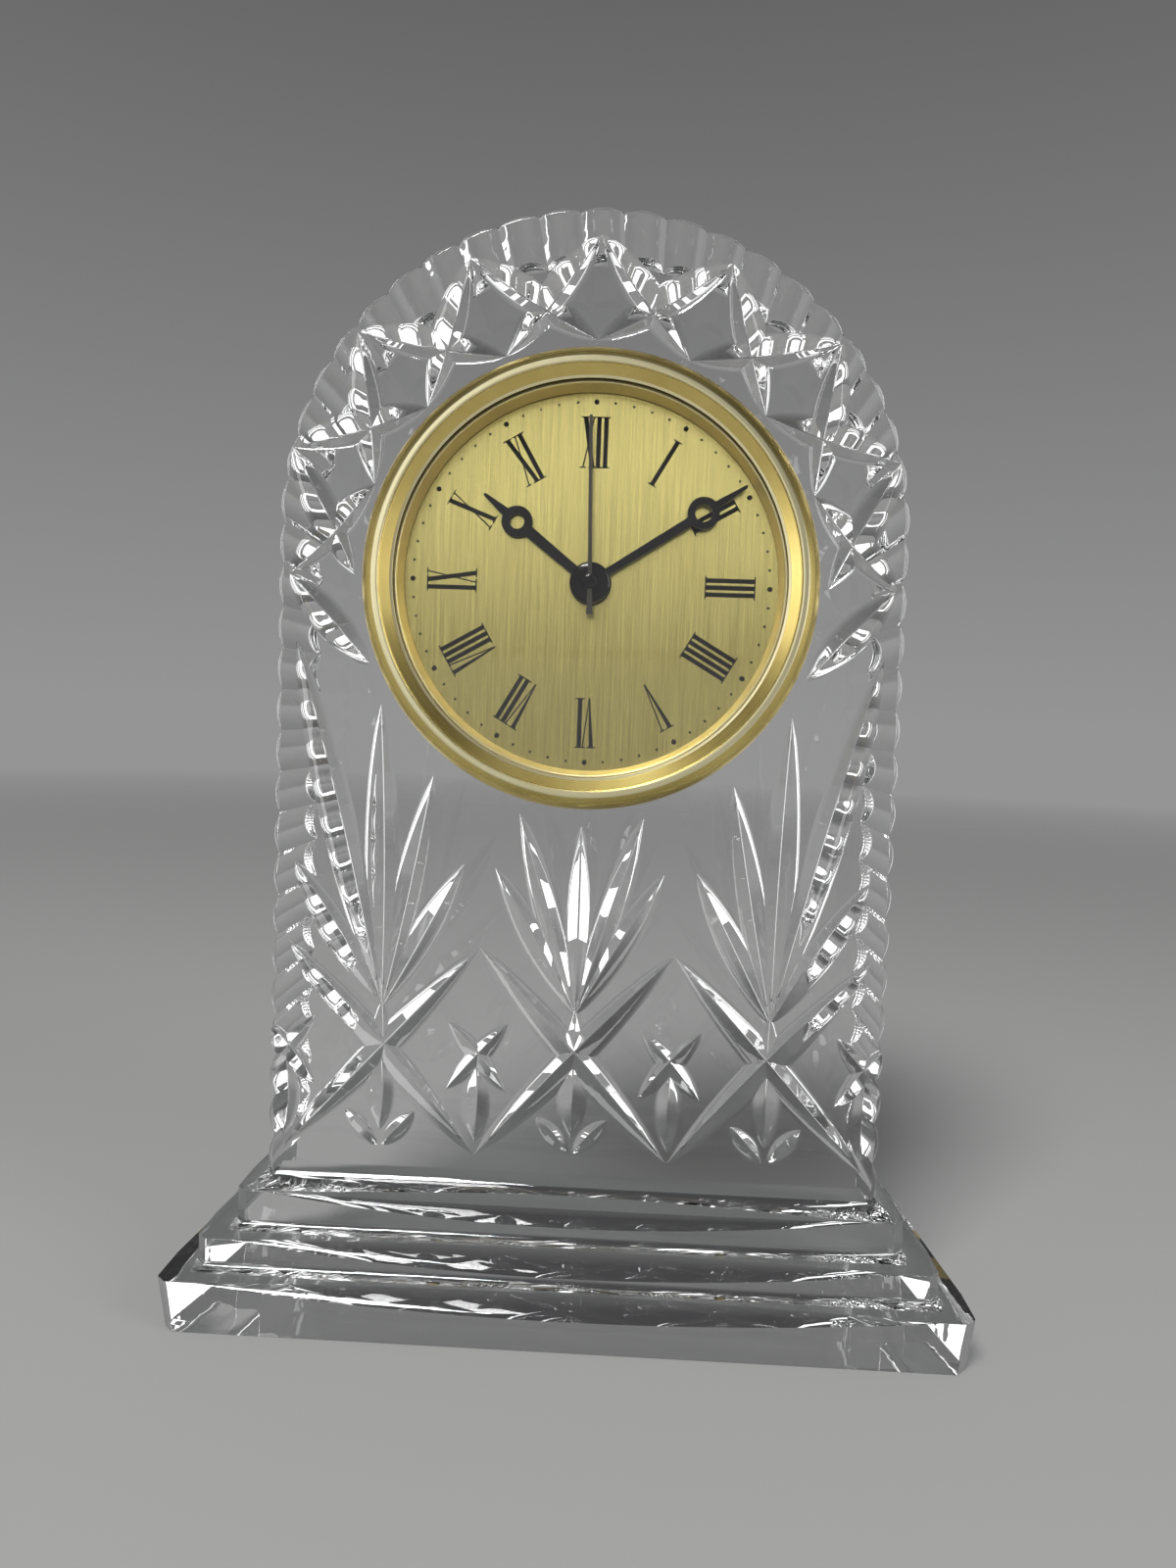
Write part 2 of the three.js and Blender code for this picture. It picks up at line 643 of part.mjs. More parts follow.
// The back plate of the train, with a hole for every rear pivot.
function trainPlate() {
  const [left, right] = [knobPlace[0] - 4, thirdPlace[0] + 11];
  const [rotorX, , rotorZ] = rotorPlace;
  const outline = [
    [left, trainPlateLow], [right, trainPlateLow], [right, 3], [12, 8.5],
    [2, rotorZ + 6], [rotorX - 3, rotorZ + 6], [left, 4],
  ];
  const hole = (radius) => (place) =>
    rod(radius + gap, trainPlateAt - 1, trainPlateBack + 1, 8).translate(...place);
  const pivots = [[0, 0, 0], thirdPlace, intermediatePlace, rotorPlace];
  return cut(
    plate(outline, trainPlateAt, trainPlateBack),
    ...pivots.map(hole(pivotRadius)),
    ...pillarPlaces.map(hole(pillarScrewRadius)),
    hole(shaftRadius)(knobPlace),
  );
}

const axle = (to) => rod(pivotRadius, pivotFront, to, 8);

// The minute wheel turns on a stud, the third and intermediate wheels between the two plates.
function minuteWheel() {
  const wheel = gear(minuteWheelTeeth, motionModule, minuteWheelAt, minuteWheelAt + wheelThickness);
  const pinion = gear(minutePinionTeeth, hourModule, hourWheelAt, minuteWheelAt);
  return join(axle(centreWheelAt - gap), wheel, pinion);
}

function thirdWheel() {
  const wheel = gear(thirdTeeth, thirdModule, thirdWheelAt, thirdWheelAt + wheelThickness);
  const pinion = gear(thirdPinionTeeth, trainModule, centreWheelAt - 0.2, thirdWheelAt);
  return join(axle(axleEnd), wheel, pinion);
}

function intermediateWheel() {
  const wheel = gear(intermediateTeeth, rotorModule, intermediateAt, intermediateAt + wheelThickness);
  const pinion = gear(intermediatePinionTeeth, trainModule, secondWheelAt - 0.2, intermediateAt);
  return join(axle(axleEnd), wheel, pinion);
}

// The centre wheel grips the cannon pinion by a friction clutch, so the hands can be set.
function centreWheel() {
  return gear(centreTeeth, trainModule, centreWheelAt, centreWheelAt + wheelThickness, cannonRadius + gap);
}

function hourWheel() {
  const bore = cannonRadius + gap;
  const wheel = gear(hourWheelTeeth, hourModule, hourWheelAt, hourWheelAt + wheelThickness, bore);
  const [from, to] = [hourHandAt - 0.15, hourWheelAt + wheelThickness + 0.3];
  const pipe = tube(bore, hourPipeRadius, from, to, smallSegments);
  return join(wheel, pipe);
}

function cannonPinion() {
  const [pinionFrom, pinionTo] = [minuteWheelAt - 0.2, minuteWheelAt + wheelThickness + 0.2];
  const pinion = gear(cannonTeeth, motionModule, pinionFrom, pinionTo, cannonRadius - 0.2);
  const [from, to] = [minuteHandAt - 0.5, centreWheelAt + wheelThickness + 0.3];
  const pipe = tube(pivotRadius + gap, cannonRadius, from, to, smallSegments);
  return join(pinion, pipe);
}

function secondWheel() {
  const axle = rod(pivotRadius, secondHandAt + 0.2, axleEnd, 8);
  const wheel = gear(secondTeeth, trainModule, secondWheelAt, secondWheelAt + wheelThickness);
  const [pinionFrom, pinionTo] = [thirdWheelAt - 0.3, thirdWheelAt + wheelThickness + 0.2];
  const pinion = gear(secondPinionTeeth, thirdModule, pinionFrom, pinionTo);
  return join(axle, wheel, pinion);
}

// A hand that points up in z: a straight bar, an open ring and a pointed tip, joined to its boss.
function ringHand(from, length, ringAt, ringRadius, eyeRadius, barWidth, boss, bore) {
  const to = from + handThickness;
  const half = barWidth / 2;
  const tipHalf = handTipWidth / 2;
  const bar = plate([[-half, 0], [half, 0], [half, ringAt], [-half, ringAt]], from, to);
  const tip = plate([[-half, ringAt], [half, ringAt], [tipHalf, length], [-tipHalf, length]], from, to);
  const ring = plate(circlePoints(0, ringAt, ringRadius, 24), from, to);
  const eye = plate(circlePoints(0, ringAt, eyeRadius, 24), from - 1, to + 1);
  return cut(join(bar, tip, ring, boss), eye, rod(bore, from - 3, to + 3));
}

function hourHand() {
  const boss = rod(bossRadius - gap, hourHandAt, hourHandAt + handThickness, 24);
  const bore = hourPipeRadius + gap;
  return ringHand(
    hourHandAt, hourLength, hourRingAt, hourRingRadius, hourEyeRadius, hourBarWidth, boss, bore,
  );
}

function minuteHand() {
  const back = minuteHandAt + handThickness;
  const boss = turned([
    [0, back], [0, minuteHandAt - 0.8], [bossRadius / 2, minuteHandAt - 0.7],
    [bossRadius, minuteHandAt - 0.1], [bossRadius, back],
  ], 24);
  const length = dialOpening - minuteTipMargin;
  const bore = cannonRadius + gap;
  return ringHand(
    minuteHandAt, length, minuteRingAt, minuteRingRadius, minuteEyeRadius, minuteBarWidth, boss, bore,
  );
}

function secondHand() {
  const [from, to] = [secondHandAt, secondHandAt + 0.3];
  const length = dialOpening - secondTipMargin;
  const outline = [
    [-0.5, -secondTail], [0.5, -secondTail], [0.26, 0], [0.23, length], [-0.23, length], [-0.26, 0],
  ];
  const cap = rod(secondCapRadius, from - 0.35, to, 24);
  const socket = rod(pivotRadius + gap, from - 0.1, to + 1, 8);
  return cut(join(plate(outline, from, to), cap), socket);
}

// The setting knob with its shaft and pinion; the rim has finger notches.
function settingKnob() {
  const outline = circlePoints(0, 0, knobRadius, 36).map(([x, z], i) =>
    (i % 2 ? [x * 0.92, z * 0.92] : [x, z]));
  const front = caseDepth + knobGap;
  const disc = plate(outline, front, front + knobThickness);
  const shaft = rod(shaftRadius, plateBack + gap, front + 0.5);
  const pivot = rod(pivotRadius, pivotFront, plateBack + 1, 8);
  const [pinionFrom, pinionTo] = [minuteWheelAt - 0.2, minuteWheelAt + wheelThickness + 0.2];
  const pinion = gear(settingTeeth, motionModule, pinionFrom, pinionTo);
  return join(disc, shaft, pivot, pinion);
}

// Stepping motor: rotor magnet, stator plate with the rotor hole, and the coil on a core bar above it.
const statorAt = centreWheelAt + 0.8;
const coilAxisDepth = statorAt + statorThickness / 2;

function rotorPinion() {
  const pinion = gear(rotorTeeth, rotorModule, intermediateAt - gap, intermediateAt + wheelThickness + gap);
  return join(axle(axleEnd), pinion);
}

function rotorMagnet() {
  const from = coilAxisDepth - magnetLength / 2;
  return tube(pivotRadius + gap, magnetRadius, from, from + magnetLength, 20);
}

function statorPlate() {
  const [x, , z] = rotorPlace;
  const half = magnetRadius + statorGap + 1.3;
  const [barEnd, barLow, barHigh] = [coilTo + 3, coreLevel - coreHalfWidth, coreLevel + coreHalfWidth];
  const neck = coilFrom - 1.8;
  const yoke = [
    [x - half, z - half], [x + half, z - half], [x + half, coreLevel - half],
    [neck, coreLevel - half], [neck, barLow], [barEnd, barLow],
    [barEnd, barHigh], [x - half + 3, barHigh], [x - half, barHigh - 3],
  ];
  const hole = rod(magnetRadius + statorGap, statorAt - 1, statorAt + 2, 20).translate(x, 0, z);
  return cut(plate(yoke, statorAt, statorAt + statorThickness), hole);
}

// A block round the coil's axis, given its ends, half depth and half height.
function roundCoreAxis(from, to, halfDepth, halfHeight) {
  const [front, back] = [coilAxisDepth - halfDepth, coilAxisDepth + halfDepth];
  return block(from, to, front, back, coreLevel - halfHeight, coreLevel + halfHeight);
}

function coilBobbin() {
  const half = coilRadius + 0.2;
  const flange = (x) => roundCoreAxis(x, x + flangeThickness, half, half);
  const [slotDepth, slotHeight] = [statorThickness / 2 + gap, coreHalfWidth + gap];
  const core = roundCoreAxis(coilFrom, coilTo, slotDepth + bobbinWall, slotHeight + bobbinWall);
  const slot = roundCoreAxis(coilFrom - 1, coilTo + 1, slotDepth, slotHeight);
  return cut(join(core, flange(coilFrom), flange(coilTo - flangeThickness)), slot);
}

function coilWinding() {
  const [from, to] = [coilFrom + flangeThickness + gap, coilTo - flangeThickness - gap];
  const wound = rod(coilRadius, from, to, 20).rotateZ(-Math.PI / 2).translate(0, coilAxisDepth, coreLevel);
  const room = 2 * gap + bobbinWall;
  return cut(wound, roundCoreAxis(from - 1, to + 1, statorThickness / 2 + room, coreHalfWidth + room));
}

// The board lies on the train plate and reaches up behind the coil; the crystal can lies on the board.
const boardAt = trainPlateBack + gap;
const boardLow = pillarPlaces[0][2] + 1.8;
const boardOutline = [
  [-17, 20], [-17, 6], [-4, 6], [-4, boardLow],
  [coilTo, boardLow], [coilTo, coreLevel + 1.5], [-10, coreLevel + 3],
];
const canPlace = [coilTo - 8, boardAt + boardThickness + gap + canRadius, boardLow + 2.1];

const batteryMiddle = batteryStart + batteryRadius;
function batteryCell() {
  const half = batteryLength / 2;
  const body = rod(batteryRadius, -half, half - batteryNubLength, 24);
  const nub = rod(batteryNubRadius, 0, half, 12);
  return join(body, nub).rotateZ(-Math.PI / 2).translate(0, batteryMiddle, -batteryDrop);
}

// A spring leaf beside the battery's end, with a foot that reaches the wall of the bay.
function contactLeaf(side) {
  const face = batteryLength / 2 + gap;
  const wall = bayHalfLength - gap;
  const [low, high] = [-batteryDrop - contactHalfWidth, -batteryDrop + contactHalfWidth];
  const [front, back] = [batteryMiddle - contactHalfWidth, batteryMiddle + contactHalfWidth];
  const across = (from, to) => [side * from, side * to].sort((a, b) => a - b);
  const leaf = block(...across(face, face + contactThickness), front, back, low, high);
  const foot = block(...across(face, wall), front, front + contactThickness, low, high);
  return join(leaf, foot);
}

function caseScrew() {
  const headRadius = 2.2 * screwRadius;
  const head = rod(headRadius, caseDepth + 0.1, caseDepth + 1.1, 12);
  const shank = rod(screwRadius, floorFront - screwBite, caseDepth + 0.5, 8);
  const slot = block(-headRadius, headRadius, caseDepth + 0.75, caseDepth + 2, -0.25, 0.25);
  return cut(join(head, shank), slot);
}

function pillarScrew() {
  const head = rod(1.9 * pillarScrewRadius, trainPlateBack + 0.1, trainPlateBack + 0.8, 12);
  return join(head, rod(pillarScrewRadius, trainPlateAt - pillarScrewBite, trainPlateBack + 0.4, 8));
}

function spacerRing() {
  return turned([
    [dialOpening, dialFront - gap], [dialOpening + 0.6, caseFront + 0.1],
    [caseInner - gap, caseFront + 0.1], [caseInner - gap, dialFront - gap],
  ]);
}

// Assembly
const clock = new THREE.Group();
clock.add(named("crystal_block", crystalBlock(), glass));

const insert = new THREE.Group();
insert.position.set(0, frontFace, dialHeight);
clock.add(insert);

insert.add(
  named("bezel", bezelRing(), gold),
  named("lens", lensDome(), glass),
  named("spacer_ring", spacerRing(), gold),
  named("dial", tube(bushRadius + gap, dialRadius, dialFront, dialFront + dialThickness), dialGold),
  named("insert_case", insertCase(), plasticBlack),
  named("grip_ring", gripRing(), rubberBlack),
  named("front_plate", frontPlate(), plasticBlack),
  named("train_plate", trainPlate(), plasticWhite),
  named("stator", statorPlate(), steel),
  named("coil_bobbin", coilBobbin(), plasticWhite),
  named("coil_winding", coilWinding(), copper),
  named("circuit_board", plate(boardOutline, boardAt, boardAt + boardThickness), boardGreen),
  named("battery_cell", batteryCell(), steel),
  named("contact_positive", contactLeaf(1), steel),
  named("contact_negative", contactLeaf(-1), steel),
);
insert.add(named("quartz_can", rod(canRadius, 0, canLength, 12).rotateZ(-Math.PI / 2), steel, ...canPlace));
screwPlaces.forEach((place, i) => {
  insert.add(named(`case_screw_${i + 1}`, caseScrew(), steel, ...place));
});
pillarPlaces.forEach((place, i) => {
  insert.add(named(`pillar_screw_${i + 1}`, pillarScrew(), steel, ...place));
});

function turnedTo(mesh, degrees) {
  mesh.rotation.y = radians(degrees);
  return mesh;
}

insert.add(
  turnedTo(named("hour_hand", hourHand(), handBlack), hourAngle),
  turnedTo(named("minute_hand", minuteHand(), handBlack), minuteAngle),
  turnedTo(named("second_hand", secondHand(), handBlack), secondAngle),
  named("hour_wheel", hourWheel(), plasticWhite),
  named("cannon_pinion", cannonPinion(), plasticWhite),
  named("minute_wheel", minuteWheel(), plasticWhite, ...minuteWheelPlace),
  named("centre_wheel", centreWheel(), plasticWhite),
  named("third_wheel", thirdWheel(), plasticWhite, ...thirdPlace),
  named("second_wheel", secondWheel(), plasticWhite),
  named("intermediate_wheel", intermediateWheel(), plasticWhite, ...intermediatePlace),
  named("rotor_pinion", rotorPinion(), plasticWhite, ...rotorPlace),
  named("rotor_magnet", rotorMagnet(), steel, ...rotorPlace),
  named("setting_knob", settingKnob(), plasticBlack, ...knobPlace),
);

export default clock;
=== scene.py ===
import json
import math

import bmesh
import bpy
from mathutils import Matrix, Vector

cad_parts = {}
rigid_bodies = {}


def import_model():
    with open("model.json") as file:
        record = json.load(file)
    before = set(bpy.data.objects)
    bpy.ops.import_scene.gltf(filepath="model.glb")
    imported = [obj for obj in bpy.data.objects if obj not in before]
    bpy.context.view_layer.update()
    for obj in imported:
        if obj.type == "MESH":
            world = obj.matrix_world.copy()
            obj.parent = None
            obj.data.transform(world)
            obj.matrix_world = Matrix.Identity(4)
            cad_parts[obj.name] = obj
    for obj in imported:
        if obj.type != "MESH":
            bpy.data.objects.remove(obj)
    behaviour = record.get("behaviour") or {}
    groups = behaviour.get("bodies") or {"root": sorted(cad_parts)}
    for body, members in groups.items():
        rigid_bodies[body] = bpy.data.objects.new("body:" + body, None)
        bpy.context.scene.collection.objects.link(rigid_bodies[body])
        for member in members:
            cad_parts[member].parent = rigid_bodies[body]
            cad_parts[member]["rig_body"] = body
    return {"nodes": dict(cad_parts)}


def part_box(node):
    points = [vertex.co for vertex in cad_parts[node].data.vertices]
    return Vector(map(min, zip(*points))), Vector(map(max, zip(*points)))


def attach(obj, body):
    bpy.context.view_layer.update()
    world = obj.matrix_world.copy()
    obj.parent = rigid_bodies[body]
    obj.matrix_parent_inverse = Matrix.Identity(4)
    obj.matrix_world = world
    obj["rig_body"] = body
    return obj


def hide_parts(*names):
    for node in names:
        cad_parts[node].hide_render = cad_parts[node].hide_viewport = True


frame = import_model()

print("frame loaded,", len(frame["nodes"]), "pieces")
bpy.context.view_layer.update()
scene = bpy.context.scene
nodes = frame["nodes"]

millimetre = 0.001  # shapes are drawn in millimetres and made in metres
quarterTurn = math.pi / 2


# Where things are in the frame, in millimetres
def boxOf(node):
    low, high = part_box(node)
    return low / millimetre, high / millimetre


def middleOf(node):
    low, high = boxOf(node)
    return (low + high) / 2


blockLow, blockHigh = boxOf("crystal_block")
dialHeight = middleOf("bezel").z
dialRadius = boxOf("dial")[1].x
bezelRadius = boxOf("bezel")[1].x
boreRadius = bezelRadius - 2
caseRadius = boreRadius - 1.6
dialDepth = 2.2  # the dial lies this far behind the front face of the block
frontFace = boxOf("dial")[0].y - dialDepth
backFace = blockHigh.y


# Across and up from the dial's centre
def placeOf(node):
    at = middleOf(node)
    return at.x, at.z - dialHeight


knobAt = placeOf("setting_knob")
cellUp = placeOf("battery_cell")[1]
cellDepth = middleOf("battery_cell").y - frontFace
caseScrews = [f"case_screw_{i}" for i in range(1, 5)]


# A place in metres, from millimetres across, deep and up
def framePoint(across, depth, up):
    return Vector((across, frontFace + depth, dialHeight + up)) * millimetre


# Meshes
def newPiece(name, points=(), faces=()):
    mesh = bpy.data.meshes.new(name)
    mesh.from_pydata([Vector(p) * millimetre for p in points], [], faces)
    piece = bpy.data.objects.new(name, mesh)
    scene.collection.objects.link(piece)
    return piece


def cleanUp(piece, tolerance=0.0005):
    mesh = bmesh.new()
    mesh.from_mesh(piece.data)
    bmesh.ops.remove_doubles(mesh, verts=mesh.verts, dist=tolerance * millimetre)
    bmesh.ops.dissolve_degenerate(mesh, edges=mesh.edges, dist=tolerance * millimetre)
    bmesh.ops.recalc_face_normals(mesh, faces=mesh.faces)
    mesh.to_mesh(piece.data)
    mesh.free()
    return piece


def bake(piece):
    graph = bpy.context.evaluated_depsgraph_get()
    mesh = bpy.data.meshes.new_from_object(piece.evaluated_get(graph), depsgraph=graph)
    old = piece.data
    piece.modifiers.clear()
    piece.data = mesh
    bpy.data.meshes.remove(old)
    mesh.name = piece.name
    return piece


def softenEdges(piece, width, segments=2, angle=35):
    bevel = piece.modifiers.new("edges", "BEVEL")
    bevel.width = width * millimetre
    bevel.segments = segments
    bevel.limit_method = "ANGLE"
    bevel.angle_limit = math.radians(angle)
    return bake(piece)


def cutAway(piece, *tools):
    for tool in tools:
        modifier = piece.modifiers.new("cut", "BOOLEAN")
        modifier.operation = "DIFFERENCE"
        modifier.solver = "MANIFOLD"
        modifier.object = tool
    bake(piece)
    for tool in tools:
        bpy.data.objects.remove(tool)
    return piece


def joinPieces(name, *pieces):
    mesh = bmesh.new()
    for piece in pieces:
        mesh.from_mesh(piece.data)
        bpy.data.objects.remove(piece)
    joined = newPiece(name)
    mesh.to_mesh(joined.data)
    mesh.free()
    return joined


def finishPiece(piece, material, body, replaced=(), sharpAngle=30):
    if material:
        piece.data.materials.clear()
        piece.data.materials.append(material)
    piece.data.shade_smooth()
    piece.data.set_sharp_from_angle(angle=math.radians(sharpAngle))
    shading = piece.modifiers.new("shading", "WEIGHTED_NORMAL")
    shading.keep_sharp = True
    bake(piece)
    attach(piece, body)
    if replaced:
        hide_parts(*replaced)
    return piece


# A second finish, on the faces that a test picks by how far across, deep and up they are
def paintFaces(piece, finish, chosen):
    piece.data.materials.append(finish)
    for face in piece.data.polygons:
        at = face.center / millimetre
        if chosen(at.x, at.y - frontFace, at.z - dialHeight):
            face.material_index = 1


# Nodes. Inputs are a list, or go by name: each is a value, another node's output or a list of outputs.
def setInputs(tree, node, inputs):
    for label, given in inputs.items() if isinstance(inputs, dict) else enumerate(inputs):
        for value in given if isinstance(given, list) else [given]:
            if isinstance(value, bpy.types.NodeSocket):
                tree.links.new(value, node.inputs[label])
            else:
                node.inputs[label].default_value = value


def addNode(tree, kind, inputs=(), output=None, **settings):
    node = tree.nodes.new(kind)
    for key, value in settings.items():
        setattr(node, key, value)
    setInputs(tree, node, inputs)
    return node.outputs[output] if output else next(socket for socket in node.outputs if socket.enabled)


# Geometry Nodes: a tree with named inputs, run once and turned into a plain mesh
def newTree(name, **inputs):
    tree = bpy.data.node_groups.new(name, "GeometryNodeTree")
    tree.interface.new_socket("Geometry", in_out="OUTPUT", socket_type="NodeSocketGeometry")
    for label, kind in {"Geometry": "Geometry", **inputs, "finish": "Material"}.items():
        tree.interface.new_socket(label, in_out="INPUT", socket_type="NodeSocket" + kind)
    return tree, tree.nodes.new("NodeGroupInput").outputs


def endTree(tree, given, geometry):
    whole = addNode(tree, "GeometryNodeRealizeInstances", [geometry])
    painted = addNode(tree, "GeometryNodeSetMaterial", {"Geometry": whole, "Material": given["finish"]})
    setInputs(tree, tree.nodes.new("NodeGroupOutput"), [painted])
    return tree


def runTree(piece, tree, finish, lengths=None, **inputs):
    modifier = piece.modifiers.new(tree.name, "NODES")
    modifier.node_group = tree
    inputs["finish"] = finish
    for label, length in (lengths or {}).items():
        inputs[label] = length * millimetre
    for item in tree.interface.items_tree:
        if item.in_out == "INPUT" and item.name in inputs:
            modifier[item.identifier] = inputs[item.name]
    return bake(piece)


def pointsPiece(name, places, **attributes):
    piece = newPiece(name, places)
    for label, values in attributes.items():
        piece.data.attributes.new(label, "FLOAT", "POINT").data.foreach_set("value", values)
    return piece


def attributeOf(tree, name):
    return addNode(tree, "GeometryNodeInputNamedAttribute", {"Name": name}, data_type="FLOAT")


def objectOf(tree, given):
    return addNode(tree, "GeometryNodeObjectInfo", {"Object": given}, "Geometry")


def differenceOf(tree, whole, tools):
    return addNode(tree, "GeometryNodeMeshBoolean", [whole, tools], operation="DIFFERENCE", solver="MANIFOLD")


# A circle of points to place things on
def ringPoints(tree, given):
    return addNode(tree, "GeometryNodeMeshCircle", {
        "Vertices": given["count"], "Radius": given["ringRadius"]})


# Stands a flat ring up, or lays a spring along the width, at a place in the frame
def moveTo(tree, geometry, spot, rotation=(quarterTurn, 0, 0)):
    return addNode(tree, "GeometryNodeTransform", {
        "Geometry": geometry, "Rotation": rotation, "Translation": spot})


# Joins overlapping closed shells of one mesh into one closed surface
def shellTree():
    tree, given = newTree("joinShells")
    island = addNode(tree, "GeometryNodeInputMeshIsland")
    shells = addNode(tree, "GeometryNodeSplitToInstances", {
        "Geometry": given["Geometry"], "Group ID": island}, domain="FACE")
    union = addNode(tree, "GeometryNodeMeshBoolean", {1: shells}, operation="UNION", solver="MANIFOLD")
    return endTree(tree, given, union)


joinShells = shellTree()


def fusePieces(name, finish, *pieces):
    return runTree(joinPieces(name, *pieces), joinShells, finish)


# Materials. Every pattern reads Object coordinates, in metres.
def newMaterial(name, colour, roughness, metallic=0.0, **sockets):
    material = bpy.data.materials.new(name)
    material.use_nodes = True
    tree = material.node_tree
    shader = tree.nodes["Principled BSDF"]
    setInputs(tree, shader, {
        "Base Color": (*colour, 1), "Roughness": roughness, "Metallic": metallic, **sockets})
    return material, tree, shader


def place(tree, scale, centre=(0, 0, 0)):
    at = addNode(tree, "ShaderNodeTexCoord", output="Object")
    moved = addNode(tree, "ShaderNodeVectorMath", [at, centre], operation="SUBTRACT")
    sizes = scale if isinstance(scale, tuple) else (scale,) * 3
    return addNode(tree, "ShaderNodeVectorMath", [moved, sizes], operation="MULTIPLY")


def noise(tree, scale, detail=3.0):
    return addNode(tree, "ShaderNodeTexNoise", {"Vector": place(tree, scale), "Scale": 1.0, "Detail": detail})


def between(tree, value, low, high, fromLow=0.3, fromHigh=0.7):
    return addNode(tree, "ShaderNodeMapRange", {
        "Value": value, "From Min": fromLow, "From Max": fromHigh, "To Min": low, "To Max": high})


def mixColours(tree, factor, first, second):
    return addNode(tree, "ShaderNodeMix", {"Factor": factor, "A": (*first, 1), "B": (*second, 1)},
                   data_type="RGBA")


def bump(tree, height, strength, distance):
    return addNode(tree, "ShaderNodeBump", {
        "Height": height, "Strength": strength, "Distance": distance * millimetre})


# Mixes a surface with nothing by a factor, where light may pass
def openSurface(tree, shader, factor, colour=(1, 1, 1)):
    clear = addNode(tree, "ShaderNodeBsdfTransparent", {"Color": (*colour, 1)})
    mix = addNode(tree, "ShaderNodeMixShader", [factor, shader.outputs[0], clear])
    setInputs(tree, tree.nodes["Material Output"], {"Surface": mix})


# Glass lets the lamps through, so that what lies behind it is lit
def clearGlass(name, look):
    material, tree, shader = newMaterial(name, look["colour"], look["rough"][0], IOR=look["ior"],
                                         **{"Transmission Weight": 1.0})
    smear = between(tree, noise(tree, look["smear"], 4.0), *look["rough"], 0.5, 0.8)
    waves = bump(tree, noise(tree, look["wave"], 1.5), look["bump"], look["height"])
    setInputs(tree, shader, {"Roughness": smear, "Normal": waves})
    openSurface(tree, shader, addNode(tree, "ShaderNodeLightPath", output="Is Shadow Ray"), look["shadow"])
    return material


crystalGlass = clearGlass("crystalGlass", {
    "colour": (0.985, 0.99, 0.988), "rough": (0.0, 0.02), "ior": 1.545, "wave": 110, "smear": 260,
    "bump": 0.12, "height": 0.35, "shadow": (0.62, 0.63, 0.63)})
lensGlass = clearGlass("lensGlass", {
    "colour": (0.99, 0.99, 0.985), "rough": (0.0, 0.015), "ior": 1.49, "wave": 40, "smear": 200,
    "bump": 0.02, "height": 0.1, "shadow": (0.97, 0.97, 0.96)})


# Colour follows the wear, roughness and height follow the grain
def weather(tree, shader, look, wear, grain):
    setInputs(tree, shader, {
        "Base Color": mixColours(tree, between(tree, wear, 0, 1), look["colour"], look["worn"]),
        "Roughness": between(tree, grain, *look["rough"]),
        "Normal": bump(tree, grain, look["bump"], look["height"])})


# A plain finish with its own grain
def grained(name, metallic=0.0, sockets=None, **look):
    material, tree, shader = newMaterial(name, look["colour"], look["rough"][0], metallic, **(sockets or {}))
    weather(tree, shader, look, noise(tree, 90, 2.0), noise(tree, look["grain"]))
    return material


# Turned gold: fine rings from the lathe round the dial's axis
def turnedGold(name, **look):
    material, tree, shader = newMaterial(name, look["colour"], look["rough"][0], 1.0)
    flat = place(tree, (1, 0, 1), (0, 0, dialHeight * millimetre))
    reach = addNode(tree, "ShaderNodeVectorMath", [flat], operation="LENGTH")
    rings = addNode(tree, "ShaderNodeTexNoise", {"W": reach, "Scale": look["rings"], "Detail": 2.0},
                    noise_dimensions="1D")
    weather(tree, shader, look, noise(tree, 160, 5.0), rings)
    return material


bezelGold = turnedGold("bezelGold", colour=(0.84, 0.675, 0.23), worn=(0.74, 0.565, 0.18), rough=(0.26, 0.36),
                       rings=5000, bump=0.08, height=0.015)
satinGold = turnedGold("satinGold", colour=(0.93, 0.79, 0.43), worn=(0.88, 0.73, 0.38), rough=(0.38, 0.5),
                       rings=4000, bump=0.12, height=0.02)
# Paler gold on the bezel's ring and lip and the surround's bead, as a painted highlight on polished metal
polishedGold = turnedGold("polishedGold", colour=(1.0, 0.92, 0.58), worn=(0.97, 0.87, 0.52),
                          rough=(0.32, 0.40), rings=5000, bump=0.03, height=0.01)

# Champagne dial, brushed straight up and down
dialLook = {
    "colour": (0.74, 0.65, 0.245), "dark": (0.57, 0.49, 0.165), "rough": (0.20, 0.27), "metallic": 0.75,
    "brush": (9000, 9000, 60), "broadBrush": (2600, 2600, 90), "bump": 0.12, "height": 0.02,
}


def brushedDial():
    look = dialLook
    material, tree, shader = newMaterial("brushedDial", look["colour"], 0.4, look["metallic"])
    fine = noise(tree, look["brush"], 2.0)
    both = addNode(tree, "ShaderNodeMath", [noise(tree, look["broadBrush"], 2.0), 0.5,
                                            between(tree, fine, 0, 0.5, 0, 1)], operation="MULTIPLY_ADD")
    shade = mixColours(tree, between(tree, both, 0, 1, 0.35, 0.65), look["dark"], look["colour"])
    setInputs(tree, shader, {"Base Color": shade, "Roughness": between(tree, fine, *look["rough"]),
                             "Normal": bump(tree, both, look["bump"], look["height"])})
    return material


dialGold = brushedDial()

